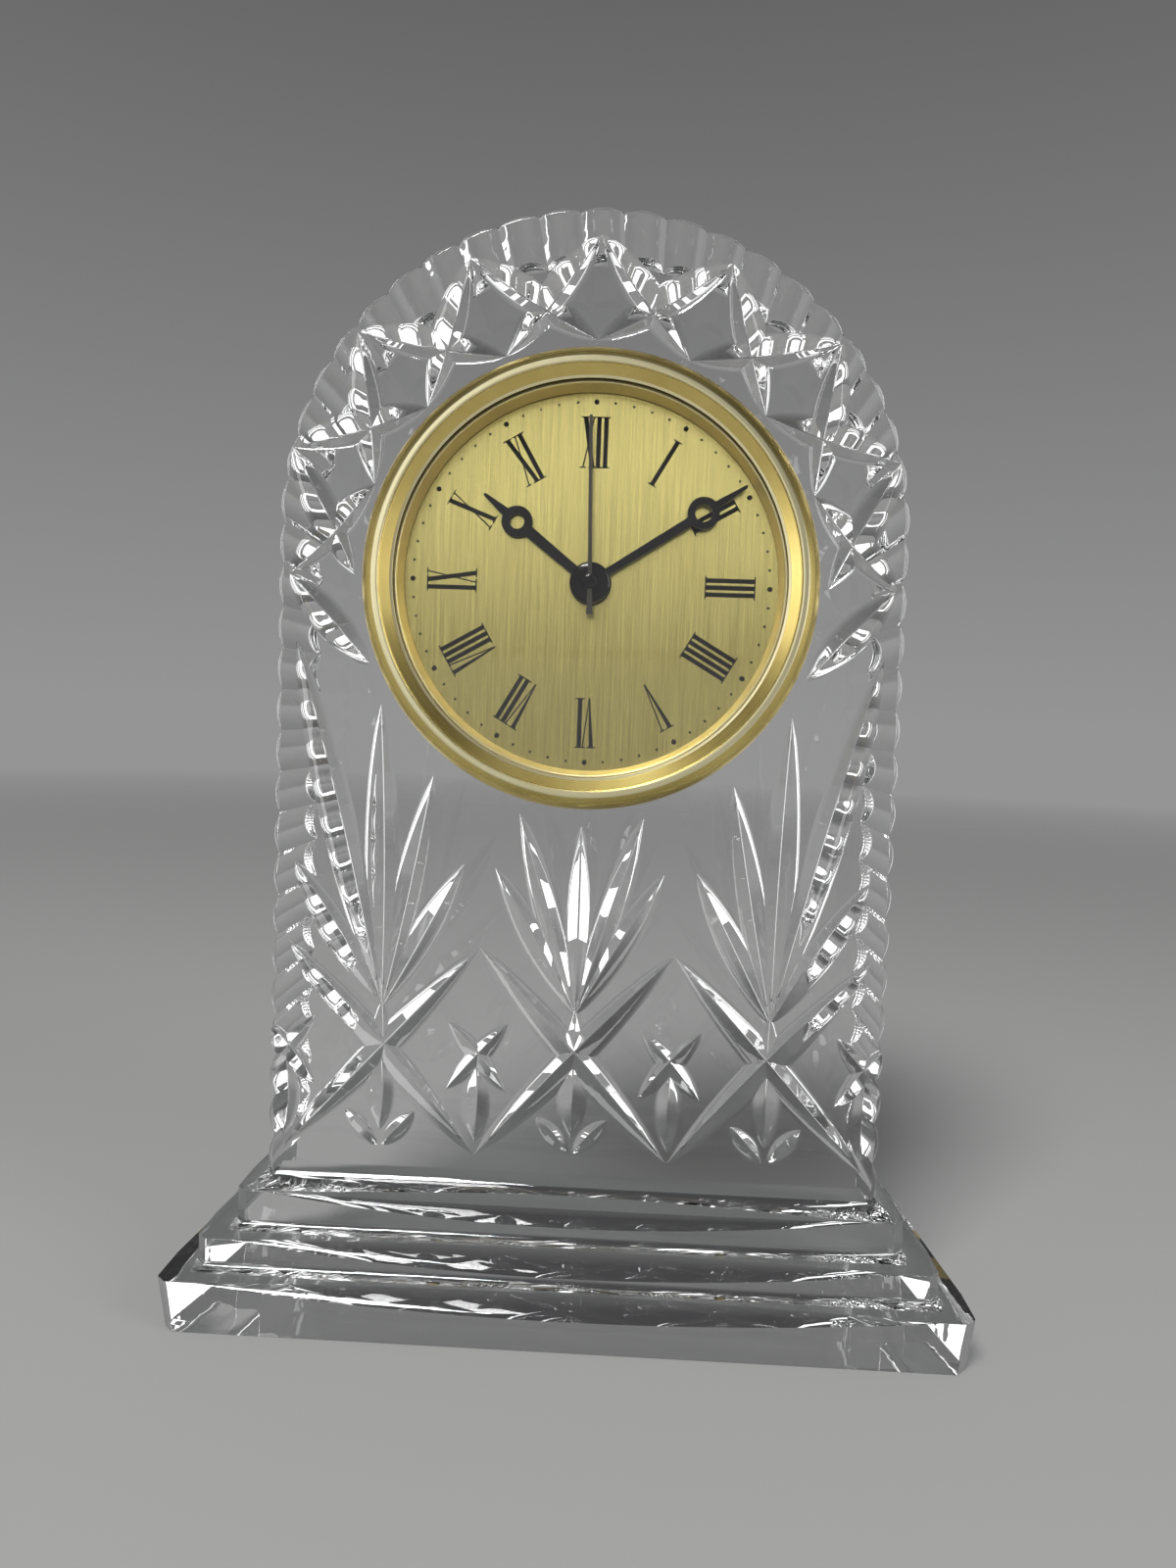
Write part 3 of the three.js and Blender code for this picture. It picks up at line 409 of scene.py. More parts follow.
# Plain finishes
handBlack = grained("handBlack", colour=(0.010, 0.010, 0.011), worn=(0.016, 0.016, 0.017), rough=(0.28, 0.42),
                    grain=6000, bump=0.08, height=0.01, sockets={"Specular IOR Level": 0.3})
bossBlack = grained("bossBlack", colour=(0.008, 0.008, 0.009), worn=(0.011, 0.011, 0.012), rough=(0.10, 0.16),
                    grain=3000, bump=0.03, height=0.01, sockets={"Specular IOR Level": 0.35})
printBlack = grained("printBlack", colour=(0.010, 0.010, 0.010), worn=(0.018, 0.018, 0.016),
                     rough=(0.45, 0.6), grain=9000, bump=0.1, height=0.005,
                     sockets={"Specular IOR Level": 0.15})
mouldedBlack = grained("mouldedBlack", colour=(0.020, 0.020, 0.021), worn=(0.030, 0.030, 0.031),
                       rough=(0.36, 0.5), grain=3500, bump=0.35, height=0.03)
mouldedWhite = grained("mouldedWhite", colour=(0.74, 0.71, 0.62), worn=(0.68, 0.64, 0.54), rough=(0.34, 0.46),
                       grain=2500, bump=0.12, height=0.02,
                       sockets={"Subsurface Weight": 0.08, "Subsurface Scale": 0.001})
batonGrey = grained("batonGrey", colour=(0.085, 0.08, 0.062), worn=(0.06, 0.057, 0.045), rough=(0.3, 0.42),
                    grain=6000, bump=0.08, height=0.01)
copperWire = grained("copperWire", colour=(0.62, 0.27, 0.12), worn=(0.52, 0.21, 0.09), rough=(0.25, 0.4),
                     metallic=1.0, grain=(9000, 300, 300), bump=0.6, height=0.08)
boardGreen = grained("boardGreen", colour=(0.05, 0.22, 0.11), worn=(0.04, 0.17, 0.085), rough=(0.3, 0.42),
                     grain=2500, bump=0.1, height=0.02)
batterySleeve = grained("batterySleeve", colour=(0.42, 0.43, 0.44), worn=(0.36, 0.37, 0.38),
                        rough=(0.3, 0.42), grain=(200, 5000, 5000), bump=0.1, height=0.01)
brightSteel = grained("brightSteel", colour=(0.60, 0.61, 0.62), worn=(0.50, 0.50, 0.50), rough=(0.22, 0.38),
                      metallic=1.0, grain=(500, 5000, 5000), bump=0.15, height=0.01)
magnetGrey = grained("magnetGrey", colour=(0.10, 0.10, 0.105), worn=(0.07, 0.07, 0.07), rough=(0.35, 0.5),
                     metallic=0.6, grain=4000, bump=0.2, height=0.01)
gripRubber = grained("gripRubber", colour=(0.012, 0.012, 0.012), worn=(0.024, 0.024, 0.023),
                     rough=(0.62, 0.8), grain=2500, bump=0.3, height=0.03)
print("materials ready")


# A body turned round an axis, from corners (radius, depth behind the front face, and rounding if any)
def turnedPiece(name, corners, segments=192, centre=(0, 0), arcSteps=5):
    profile = []
    for i, (r, s, *rounding) in enumerate(corners):
        corner = Vector((r, s))
        if not rounding:
            profile.append(corner)
            continue
        before = Vector(corners[i - 1][:2]) - corner
        after = Vector(corners[(i + 1) % len(corners)][:2]) - corner
        room = min(*rounding, before.length * 0.5, after.length * 0.5)
        start, end = corner + before.normalized() * room, corner + after.normalized() * room
        for step in range(arcSteps + 1):
            t = step / arcSteps
            profile.append(start * (1 - t) ** 2 + corner * 2 * t * (1 - t) + end * t * t)
    points, faces = [], []
    count = len(profile)
    for step in range(segments):
        angle = 2 * math.pi * step / segments
        cos, sin = math.cos(angle), math.sin(angle)
        points += [(centre[0] + r * cos, frontFace + s, dialHeight + centre[1] + r * sin) for r, s in profile]
        a, b = step * count, (step + 1) % segments * count
        faces += [(a + i, a + (i + 1) % count, b + (i + 1) % count, b + i) for i in range(count)]
    return cleanUp(newPiece(name, points, faces))


def rodPiece(name, radius, start, end, segments=192, centre=(0, 0)):
    return turnedPiece(name, [(0, start), (radius, start), (radius, end), (0, end)], segments, centre)


# The same lying along the width, with corners (radius, place along the width from its middle)
def lyingPiece(name, corners, across, depth, up, segments=96):
    piece = turnedPiece(name, corners, segments, (0, -dialHeight))
    toAxis = Matrix.Translation((0, -frontFace * millimetre, 0))
    piece.data.transform(Matrix.Rotation(-quarterTurn, 4, "Z") @ toAxis)
    piece.data.transform(Matrix.Translation(framePoint(across, depth, up)))
    return piece


# Flat shapes (across, up) from the dial's centre, from one depth to another
def prismPiece(name, outlines, front, back):
    points, faces = [], []
    for outline in outlines:
        start, count = len(points), len(outline)
        for depth in (front, back):
            points += [(x, frontFace + depth, dialHeight + z) for x, z in outline]
        faces.append(tuple(start + i for i in range(count)))
        faces.append(tuple(start + count + i for i in reversed(range(count))))
        for i in range(count):
            j = (i + 1) % count
            faces.append((start + i, start + count + i, start + count + j, start + j))
    return cleanUp(newPiece(name, points, faces))


def boxPiece(name, low, high, edge=0):
    (x0, s0, z0), (x1, s1, z1) = low, high
    piece = prismPiece(name, [[(x0, z0), (x1, z0), (x1, z1), (x0, z1)]], s0, s1)
    return softenEdges(piece, edge, segments=3) if edge else piece


def loftPiece(name, rings):
    count = len(rings[0])
    points = [point for ring in rings for point in ring]
    faces = [tuple(range(count))[::-1], tuple(len(points) - count + i for i in range(count))]
    for row in range(len(rings) - 1):
        for i in range(count):
            a, b = row * count + i, row * count + (i + 1) % count
            faces.append((a, b, b + count, a + count))
    return cleanUp(newPiece(name, points, faces))


# Crystal block: fluted slab on three stepped tiers, bored for the clock and cut on its front
slabSizes = {
    "halfWidth": 47.6, "archRise": 8.0, "lobePitch": 6.5, "lobeBulge": 1.2, "lobeSteps": 12,
    "edge": [(0, 0), (0.2, 0.06), (0.45, 0.22), (0.7, 0.55), (0.9, 1.15), (1, 2.2)],  # share, depth
}


def makeSlab(halfWidth, archRise, lobePitch, lobeBulge, lobeSteps, edge):
    archCentre = dialHeight + archRise
    archLobes, sideLobes = round(math.pi * halfWidth / lobePitch), round(archCentre / lobePitch)
    pitch = archCentre / sideLobes
    lobeRadius = (pitch ** 2 / 4 + lobeBulge ** 2) / (2 * lobeBulge)

    def outline(share):
        points = []
        for step in range((2 * sideLobes + archLobes) * lobeSteps + 1):
            t = step / lobeSteps
            across = (t - math.floor(t) - 0.5) * pitch
            out = share * (math.sqrt(lobeRadius ** 2 - across ** 2) - lobeRadius + lobeBulge)
            if t <= sideLobes:
                x, z, nx, nz = halfWidth, archCentre * t / sideLobes, 1, 0
            elif t >= sideLobes + archLobes:
                x, z, nx, nz = -halfWidth, archCentre * (1 - (t - sideLobes - archLobes) / sideLobes), -1, 0
            else:
                angle = math.pi * (t - sideLobes) / archLobes
                nx, nz = math.cos(angle), math.sin(angle)
                x, z = halfWidth * nx, archCentre + halfWidth * nz
            points.append((x + nx * out, z + nz * out))
        return points

    sides = [(share, frontFace + depth) for share, depth in edge]
    sides += [(share, backFace - depth) for share, depth in reversed(edge)]
    return loftPiece("slab", [[(x, y, z) for x, z in outline(share)] for share, y in sides])


baseSizes = {
    "tiers": [8.2, 4.7, 5.75], "inset": 4.5, "setback": 4.57, "neck": 3.8, "footTaper": 0.9,
    "cornerCut": 1.6, "straightSide": 9.0, "sideTaper": 0.08, "coveRise": 1.2, "coveRun": 1.92,
    "coveSteps": 8, "ledgeFall": 0.03, "neckOverlap": 1.01, "edge": 0.3,
}


def makeBase(tiers, inset, setback, neck, footTaper, cornerCut, straightSide, sideTaper, coveRise, coveRun,
             coveSteps, ledgeFall, neckOverlap, edge):
    def ring(within, z):
        half, front = blockHigh.x - within, blockLow.y + within / inset * setback
        sideEnd = front + straightSide
        back = half - sideTaper * (backFace - sideEnd)
        right = [(half - cornerCut, front), (half, front + cornerCut), (half, sideEnd), (back, backFace)]
        return [(x, y, z) for x, y in right + [(-x, y) for x, y in reversed(right)]]

    rings, level = [ring(footTaper, 0)], 0
    for tier, height in enumerate(tiers):
        level += height
        last = tier + 1 == len(tiers)
        rise, run = (neck, inset * neckOverlap) if last else (coveRise, inset)
        ledge = 0 if last else run - coveRun
        rings.append(ring(tier * inset, level))
        for step in range(coveSteps + 1):
            angle = quarterTurn * step / coveSteps
            inward = ledge + (run - ledge) * math.sin(angle)
            rings.append(ring(tier * inset + inward, level + ledgeFall + rise * (1 - math.cos(angle))))
    return softenEdges(loftPiece("base", rings), edge, segments=3, angle=30)


# The cuts: a leaf is a groove with a sharp keel that runs out to a point at each end
patternSizes = {
    "archPitch": 22.5, "edgeMargin": 3.4, "sideMargin": 0.8, "bezelMargin": 1.5, "archWidth": 4.6,
    "fanPitch": 30.6, "neckMargin": 1.9, "crossRise": 33.4, "crossWidth": 4.4, "fanAboveCross": 6.5,
    "starBelowCross": 0.7,
}
# Leaves of a fan: degrees from upright, length, width
centreFan = [(-30, 26.6, 4), (-17, 33.2, 4.2), (0, 30.2, 4.2), (17, 33.2, 4.2), (30, 26.6, 4)]
sideFan = [(-28, 26.6, 4.2), (-11, 38, 4.2), (1.5, 48.2, 4.6), (14.5, 59.5, 4.8), (32.5, 27.1, 4.2)]
# Short cuts between two points near a crossing, and near the centre of a star: x, z, x, z, width
crossLeaves = [
    (0, 7.7, 0, -4.8, 3), (0, -0.8, 0, -13.3, 4.2),
    (5.6, -10.1, 0.3, -15.8, 2.8), (-5.6, -10.1, -0.3, -15.8, 2.8),
]
starLeaves = [(-4.8, -5.5, 4.8, 5.5, 3.2), (4.8, -5.5, -4.8, 5.5, 3.2), (0, -1.5, 0, -14, 4)]


def leafPlan(archPitch, edgeMargin, sideMargin, bezelMargin, archWidth, fanPitch, neckMargin, crossRise,
             crossWidth, fanAboveCross, starBelowCross):
    leaves = []
    half = slabSizes["halfWidth"]
    outerRing, innerRing = half + slabSizes["archRise"] - edgeMargin, bezelRadius + bezelMargin
    for i in range(-4, 5):
        outer = math.radians(i * archPitch)
        sideways = abs(math.sin(outer))
        reach = (half - sideMargin) / sideways if sideways > 0.9 else outerRing
        for way in (-1, 1):
            inner = math.radians((i + way) * archPitch)
            leaves.append((reach * math.sin(outer), dialHeight + reach * math.cos(outer),
                           innerRing * math.sin(inner), dialHeight + innerRing * math.cos(inner), archWidth))
    crossLevel = sum(baseSizes["tiers"]) + baseSizes["neck"] + neckMargin + crossRise / 2
    fanLevel, starLevel = crossLevel + fanAboveCross, crossLevel - starBelowCross
    for x, fan, mirror in ((0, centreFan, 1), (fanPitch, sideFan, 1), (-fanPitch, sideFan, -1)):
        for degrees, length, width in fan:
            lean = math.radians(degrees * mirror)
            tip = (x + length * math.sin(lean), fanLevel + length * math.cos(lean))
            leaves.append((x, fanLevel, *tip, width))
    across, rise = fanPitch / 2, crossRise / 2
    for x in (-2 * across, 0, 2 * across):
        for way in (-1, 1):
            start, end = crossLevel - way * rise, crossLevel + way * rise
            leaves.append((x - across, start, x + across, end, crossWidth))
        leaves += [(x + a, crossLevel + b, x + c, crossLevel + d, w) for a, b, c, d, w in crossLeaves]
    for x in (-3 * across, -across, across, 3 * across):
        leaves += [(x + a, starLevel + b, x + c, starLevel + d, w) for a, b, c, d, w in starLeaves]
    return leaves


def leafPoints():
    plan = leafPlan(**patternSizes)
    return pointsPiece(
        "leafPoints", [((a + c) / 2, frontFace, (b + d) / 2) for a, b, c, d, w in plan],
        lean=[0.0] * len(plan), turn=[math.atan2(d - b, c - a) for a, b, c, d, w in plan],
        reach=[math.hypot(c - a, d - b) for a, b, c, d, w in plan], breadth=[w for a, b, c, d, w in plan])


toolTop = -0.5  # the cutting tools begin this share of their depth above the surface

# The long hollow panel that takes off the upper front edge of each tier
hollowSizes = {"margin": 5.0, "depth": 1.95, "lean": 35, "sag": 0.18, "overrun": 1.6, "steps": 16}


def hollowPoints():
    places, reach = [], []
    top = 0
    for tier, height in enumerate(baseSizes["tiers"]):
        top += height
        places.append((0, blockLow.y + tier * baseSizes["setback"], top))
        reach.append(2 * (blockHigh.x - tier * baseSizes["inset"] - hollowSizes["margin"]))
    count = len(places)
    return pointsPiece("hollowPoints", places, lean=[-math.radians(hollowSizes["lean"])] * count,
                       turn=[0.0] * count, reach=reach, breadth=[hollowSizes["depth"]] * count)


# Section of the panel's tool at a share of its full depth, as (across, down)
def hollowSection(share):
    hollow = hollowSizes
    tangent = math.tan(math.radians(hollow["lean"]))
    middle, half = (tangent - 1 / tangent) / 2, (tangent + 1 / tangent) / 2
    arc = []
    for step in range(hollow["steps"] + 1):
        a = hollow["overrun"] * (2 * step / hollow["steps"] - 1)
        arc.append(((middle + a * half) * share, (1 + hollow["sag"] * (1 - a * a)) * share))
    return [(arc[0][0], toolTop)] + arc + [(arc[-1][0], toolTop)]


# The leaf tool: a V with rounded rims and a rounded keel, whose depth and width follow an arc
leafSizes = {"slope": 1.0, "stations": 24, "rim": 0.13, "keel": 0.04, "fullFrom": 0.3, "skirt": (0.1, -0.03)}


def leafSection(share):
    small = min(1, share / leafSizes["fullFrom"])
    rim, keel = leafSizes["rim"] * small, leafSizes["keel"] * small
    edge, (skirt, skirtEnd) = share / 2, leafSizes["skirt"]
    profile = [(edge + rim + skirt, toolTop), (edge + rim + skirt, skirtEnd)]
    for step in (-0.7, -0.25, 0.3, 1):
        profile.append((edge - step * rim, (rim + step * rim) ** 2 / (2 * rim)))
    profile += [(keel, share - 2 * keel), (keel / 2, share - 1.25 * keel)]
    return [(-across, down) for across, down in profile] + [(0, share - keel)] + profile[::-1]


# A cutting tool one unit long whose section shrinks to a point just above the surface at each end
def lensTool(name, sectionAt, stations, reach=0.4924, tip=0.51, tipRise=0.2):
    points = [(-tip, -tipRise, 0)]
    for i in range(stations + 1):
        u = -reach * math.cos(math.pi * i / stations)
        points += [(u, down, across) for across, down in sectionAt(1 - 4 * u * u)]
    points.append((tip, -tipRise, 0))
    count, last = len(sectionAt(1)), len(points) - 1
    faces = []
    for side in range(count):
        other = (side + 1) % count
        faces.append((0, 1 + other, 1 + side))
        faces.append((last, last - count + side, last - count + other))
        for i in range(stations):
            a, b = 1 + i * count + side, 1 + i * count + other
            faces.append((a, b, b + count, a + count))
    tool = newPiece(name, points, faces)
    tool.data.transform(Matrix.Scale(1 / millimetre, 4))
    return cleanUp(tool)


# Puts a tool at each point, turned and sized by the point's attributes, and cuts them all away
def cutTree():
    tree, given = newTree(
        "wheelCuts", leafPoints="Object", leafTool="Object", leafSlope="Float", hollowPoints="Object",
        hollowTool="Object", hollowDepth="Float", bore="Object")

    def times(first, second):
        return addNode(tree, "ShaderNodeMath", [first, second], operation="MULTIPLY")

    def toolsAt(points, tool, depth):
        lean, turn, reach, breadth = [
            attributeOf(tree, name) for name in ("lean", "turn", "reach", "breadth")]
        angles = addNode(tree, "ShaderNodeCombineXYZ", [lean, times(turn, -1)])
        size = addNode(tree, "ShaderNodeCombineXYZ", [reach, depth, breadth])
        scale = addNode(tree, "ShaderNodeVectorMath", {0: size, "Scale": millimetre}, operation="SCALE")
        return addNode(tree, "GeometryNodeInstanceOnPoints", {
            "Points": objectOf(tree, given[points]), "Instance": objectOf(tree, given[tool]),
            "Rotation": addNode(tree, "FunctionNodeEulerToRotation", [angles]), "Scale": scale})

    leafDepth = times(times(attributeOf(tree, "breadth"), 0.5), given["leafSlope"])
    leaves = toolsAt("leafPoints", "leafTool", leafDepth)
    hollows = toolsAt("hollowPoints", "hollowTool", given["hollowDepth"])
    tools = [leaves, hollows, objectOf(tree, given["bore"])]
    return endTree(tree, given, differenceOf(tree, given["Geometry"], tools))


def makeCrystal():
    stations = leafSizes["stations"]
    helpers = {
        "bore": rodPiece("bore", boreRadius, -2, backFace - frontFace + 2),
        "leafTool": lensTool("leafTool", leafSection, stations), "leafPoints": leafPoints(),
        "hollowTool": lensTool("hollowTool", hollowSection, 2 * stations), "hollowPoints": hollowPoints(),
    }
    blank = fusePieces("crystal", crystalGlass, makeSlab(**slabSizes), makeBase(**baseSizes))
    piece = runTree(blank, cutTree(), crystalGlass, leafSlope=leafSizes["slope"],
                    hollowDepth=hollowSizes["depth"], **helpers)
    for helper in helpers.values():
        bpy.data.objects.remove(helper)
    return finishPiece(piece, None, "crystal", ["crystal_block"], sharpAngle=23)


crystal = makeCrystal()
print("crystal block cut,", len(crystal.data.polygons), "faces")

# Gold bezel with its polished ring; the ring and the lip are painted paler gold as a painted highlight.
# Corners are (radius, depth, rounding), at the lip (beyond its radius, depth, rounding).
bezelSizes = {
    "lipWidth": 5, "lip": [(0, -3, 0.05), (0, -3.2, 0.08), (0.4, -3.3, 0.06)],
    "ring": [
        (31.85, -4.35, 0.15), (32.05, -4.75, 0.1), (32.2, -4.8, 0.05), (32.8, -4.8, 0.08), (33, -4.65, 0.12),
        (34.3, -3.6, 0.9), (35, -1.9, 0.9), (35, -0.3, 0.12), (32.7, -0.3), (32.7, 3.4, 0.2),
        (31.7, 3.4, 0.2), (31.7, -3)],
    # Where the painted highlight goes: beyond the lip, between the polished ring's radii, in front of this
    # depth
    "lipPaintedHighlight": 0.38, "polished": (31.95, 33.0), "paintedHighlightDepth": -3.15,
}


def makeBezel(lipWidth, lip, ring, lipPaintedHighlight, polished, paintedHighlightDepth):
    lipRadius = bezelRadius - lipWidth
    bezel = turnedPiece("bezelRing", [(lipRadius + beyond, *rest) for beyond, *rest in lip] + ring, 256)
    finishPiece(bezel, bezelGold, "insert", ["bezel"], sharpAngle=40)

    # Faces painted in paler gold as a painted highlight: the lip, and the polished ring
    def paintedHighlightFaces(x, s, up):
        reach = math.hypot(x, up)
        return s < paintedHighlightDepth and (reach < lipRadius + lipPaintedHighlight or polished[0] < reach < polished[1])

    paintFaces(bezel, polishedGold, paintedHighlightFaces)
    return bezel


# The lens: a shallow dome and the flat rim that is held behind the bezel's lip
lensSizes = {"steps": 12, "rise": 3.0, "wall": 0.8, "back": -1.9, "inset": 4.8, "clearance": 0.3}


def makeLens(steps, rise, wall, back, inset, clearance):
    def dome(radius, depth):
        return [(radius * i / steps, depth - rise * (1 - (i / steps) ** 2)) for i in range(steps + 1)]

    rim, front = caseRadius - clearance, back - wall
    corners = dome(bezelRadius - inset - wall, back) + [(rim, back), (rim, front)]
    lens = turnedPiece("lensDome", corners + dome(bezelRadius - inset, front)[::-1])
    return finishPiece(lens, lensGlass, "insert", ["lens"])


# The slanted ring round the dial, with a small bead. Corners are (beyond the dial's rim, depth, rounding).
spacerSizes = {
    "corners": [(-1, 1.9, 0.05), (-0.45, -1.2, 0.1), (-0.3, -1.5, 0.12), (-0.02, -1.5, 0.12), (0.25, -1.35),
                (0.25, 1.9)],
    "beadDepth": -1.25,
}


def makeSpacer(corners, beadDepth):
    spacer = turnedPiece("dialSurround", [(dialRadius + beyond, *rest) for beyond, *rest in corners])
    finishPiece(spacer, satinGold, "insert", ["spacer_ring"])
    # The bead is painted in paler gold as a painted highlight
    paintFaces(spacer, polishedGold, lambda x, s, up: s < beadDepth)
    return spacer


bezel = makeBezel(**bezelSizes)
lens = makeLens(**lensSizes)
spacer = makeSpacer(**spacerSizes)
print("bezel, lens and surround turned")

# Dial print: numerals stand with their feet to the centre. A stroke is (foot, top, foot width, top
# width), places along the numeral in millimetres, and each sign has its strokes and its pitch.
printSizes = {
    "footRadius": 17.75, "topRadius": 25.55, "serif": 0.19, "serifReach": 0.36, "ink": 0.02, "sink": 0.05,
    "widths": {"bar": 0.69, "thin": 0.2, "apex": 0.17},
    "signs": {
        "I": ([(0, 0, "bar", "bar")], 1.09),
        "X": ([(1.24, 0, "bar", "bar"), (-0.26, 1.38, "thin", "thin")], 2.1),
        "V": ([(0.45, 0, "apex", "bar"), (0.5, 1.36, "apex", "thin")], 1.9)},
}
romans = ["XII", "I", "II", "III", "IIII", "V", "VI", "VII", "VIII", "IX", "X", "XI"]


def numeralStrokes(text):
    strokes, at = [], 0.0
    for sign in text:
        shapes, pitch = printSizes["signs"][sign]
        strokes += [(at + foot, at + top, printSizes["widths"][footWidth], printSizes["widths"][topWidth])
                    for foot, top, footWidth, topWidth in shapes]
        at += pitch
    return strokes


def serifLines(strokes, end):
    reach, apex = printSizes["serifReach"], printSizes["widths"]["apex"]
    spans = sorted((s[end] - s[2 + end] / 2 - reach, s[end] + s[2 + end] / 2 + reach)
                   for s in strokes if end == 1 or s[2] != apex)
    merged = []
    for low, high in spans:
        if merged and low < merged[-1][1]:
            merged[-1][1] = max(high, merged[-1][1])
        else:
            merged.append([low, high])
    return merged


def numeralPrisms(hour, text):
    strokes = numeralStrokes(text)
    foot, top, serif = printSizes["footRadius"], printSizes["topRadius"], printSizes["serif"]
    shapes = [[(a - lower / 2, foot), (a + lower / 2, foot), (b + upper / 2, top), (b - upper / 2, top)]
              for a, b, lower, upper in strokes]
    for end, level in ((0, foot), (1, top - serif)):
        shapes += [[(low, level), (high, level), (high, level + serif), (low, level + serif)]
                   for low, high in serifLines(strokes, end)]
    spread = [x for shape in shapes for x, _ in shape]
    shift = (min(spread) + max(spread)) / 2
    return [clockwise([(x - shift, z) for x, z in shape], 30 * hour) for shape in shapes]


def clockwise(outline, degrees):
    cos, sin = math.cos(math.radians(degrees)), math.sin(math.radians(degrees))
    return [(x * cos + z * sin, z * cos - x * sin) for x, z in outline]


def makeNumerals():
    prisms = [prism for hour, text in enumerate(romans) for prism in numeralPrisms(hour, text)]
    front, back = dialDepth - printSizes["ink"], dialDepth + printSizes["sink"]
    numerals = prismPiece("dialNumerals", prisms, front, back)
    runTree(numerals, joinShells, printBlack)
    finishPiece(numerals, None, "insert")


# Minute dots by Geometry Nodes: a small disc at each minute, a larger one at each hour
dotSizes = {"ringRadius": 27.75, "hourRadius": 0.39, "minuteRadius": 0.185, "depth": 0.04}


def dotTree():
    tree, given = newTree("minuteDots", count="Int", hourRadius="Float", minuteRadius="Float",
                          ringRadius="Float", depth="Float")
    upright = moveTo(tree, ringPoints(tree, given), (0, 0, dialHeight * millimetre))
    disc = addNode(tree, "GeometryNodeMeshCylinder", {"Vertices": 20, "Radius": 1.0, "Depth": given["depth"]})
    fifth = addNode(tree, "FunctionNodeIntegerMath", [addNode(tree, "GeometryNodeInputIndex"), 5],
                    operation="FLOORED_MODULO")
    isHour = addNode(tree, "FunctionNodeCompare", {"A": fifth}, data_type="INT", operation="EQUAL")
    size = addNode(tree, "GeometryNodeSwitch", {
        "Switch": isHour, "False": given["minuteRadius"], "True": given["hourRadius"]}, input_type="FLOAT")
    put = addNode(tree, "GeometryNodeInstanceOnPoints", {
        "Points": upright, "Instance": disc, "Rotation": (quarterTurn, 0, 0),
        "Scale": addNode(tree, "ShaderNodeCombineXYZ", [size, size, 1.0])})
    laid = addNode(tree, "GeometryNodeTranslateInstances", {
        "Instances": put, "Translation": (0, (frontFace + dialDepth) * millimetre, 0), "Local Space": False})
    return endTree(tree, given, laid)


makeNumerals()
dots = runTree(newPiece("minuteDots"), dotTree(), printBlack, dotSizes, count=60)
finishPiece(dots, None, "insert")
print("dial printed")

# Hands, drawn pointing to twelve and turned clockwise to their place
handSizes = {
    "thickness": 0.35, "edge": 0.06, "footShare": 0.8, "armShare": 0.85, "pointShare": 0.5,
    "hour": {"front": 1.1, "angle": 308, "length": 21.4, "ringAt": 14.8, "ring": 2.4, "eye": 1.15,
             "bar": 1.7, "tip": 0.5, "boss": 2.9, "dome": 0, "bore": 1.85},
    "minute": {"front": 0.3, "angle": 57, "length": 28.0, "ringAt": 20.3, "ring": 2.45, "eye": 1.33,
               "bar": 1.4, "tip": 0.5, "boss": 3.2, "dome": 0.82, "bore": 1.45},
    "second": {"front": -1.2, "angle": -1.5, "thickness": 0.3, "edge": 0.04, "bore": 0.65,
               "cap": [(0, -0.42), (0.66, -0.38, 0.2), (1.1, -0.2, 0.15)],  # from the front, with roundings
               "right": [(0.55, -5), (0.45, -3.8), (0.3, 0), (0.26, 25)]},
}


def circleOutline(x, z, radius, count=64):
    angles = [2 * math.pi * i / count for i in range(count)]
    return [(x + radius * math.cos(angle), z + radius * math.sin(angle)) for angle in angles]


def ringHand(name, front, angle, length, ringAt, ring, eye, bar, tip, boss, dome, bore):
    back, half, tip, join = front + handSizes["thickness"], bar / 2, tip / 2, (ring + eye) / 2
    foot, arm = half * handSizes["footShare"], half * handSizes["armShare"]
    point = tip * handSizes["pointShare"]
    shapes = [
        [(-foot, 0), (foot, 0), (half, ringAt - join), (-half, ringAt - join)],
        [(-arm, ringAt + join), (arm, ringAt + join), (tip, length - tip), (point, length), (-point, length),
         (-tip, length - tip)],
        circleOutline(0, ringAt, ring),
    ]
    flat = prismPiece(name, [clockwise(shape, angle) for shape in shapes], front, back)
    crown = [(boss * math.sin(math.radians(a)), front - dome * math.cos(math.radians(a)))
             for a in range(0, 81, 8)] if dome else [(0, front), (boss, front)]
    middle = turnedPiece("boss", [(0, back), *crown, (boss, back)], 96)
    window = prismPiece("eye", [clockwise(circleOutline(0, ringAt, eye), angle)], front - 1, back + 1)
    hole = rodPiece("bore", bore, front - 0.2, 3, 48)
    return softenEdges(cutAway(fusePieces(name, handBlack, flat, middle), window, hole), handSizes["edge"])


def baton(front, angle, thickness, edge, bore, cap, right):
    back = front + thickness
    outline = [(-x, z) for x, z in right[:1]] + right + [(-x, z) for x, z in right[:0:-1]]
    stick = prismPiece("baton", [clockwise(outline, angle)], front, back)
    corners = [(radius, front + level, *rest) for radius, level, *rest in cap]
    button = turnedPiece("cap", corners + [(cap[-1][0], back), (0, back)], 64)
    socket = rodPiece("socket", bore, front - 0.1, front + 1, 32)
    return softenEdges(cutAway(fusePieces("secondHand", handBlack, stick, button), socket), edge)


def makeHands():
    hour, minute, second = handSizes["hour"], handSizes["minute"], handSizes["second"]
    finishPiece(ringHand("hourHand", **hour), handBlack, "hour", ["hour_hand"])
    minuteHand = finishPiece(
        ringHand("minuteHand", **minute), handBlack, "minute", ["minute_hand"])
    secondHand = finishPiece(baton(**second), batonGrey, "second", ["second_hand"])
    for hand, radius, level in ((minuteHand, minute["boss"], minute["front"] - 0.02),
                                (secondHand, second["cap"][-1][0] + 0.01, second["front"])):
        paintFaces(hand, bossBlack, lambda x, s, up: math.hypot(x, up) < radius and s < level)


makeHands()
print("hands set")

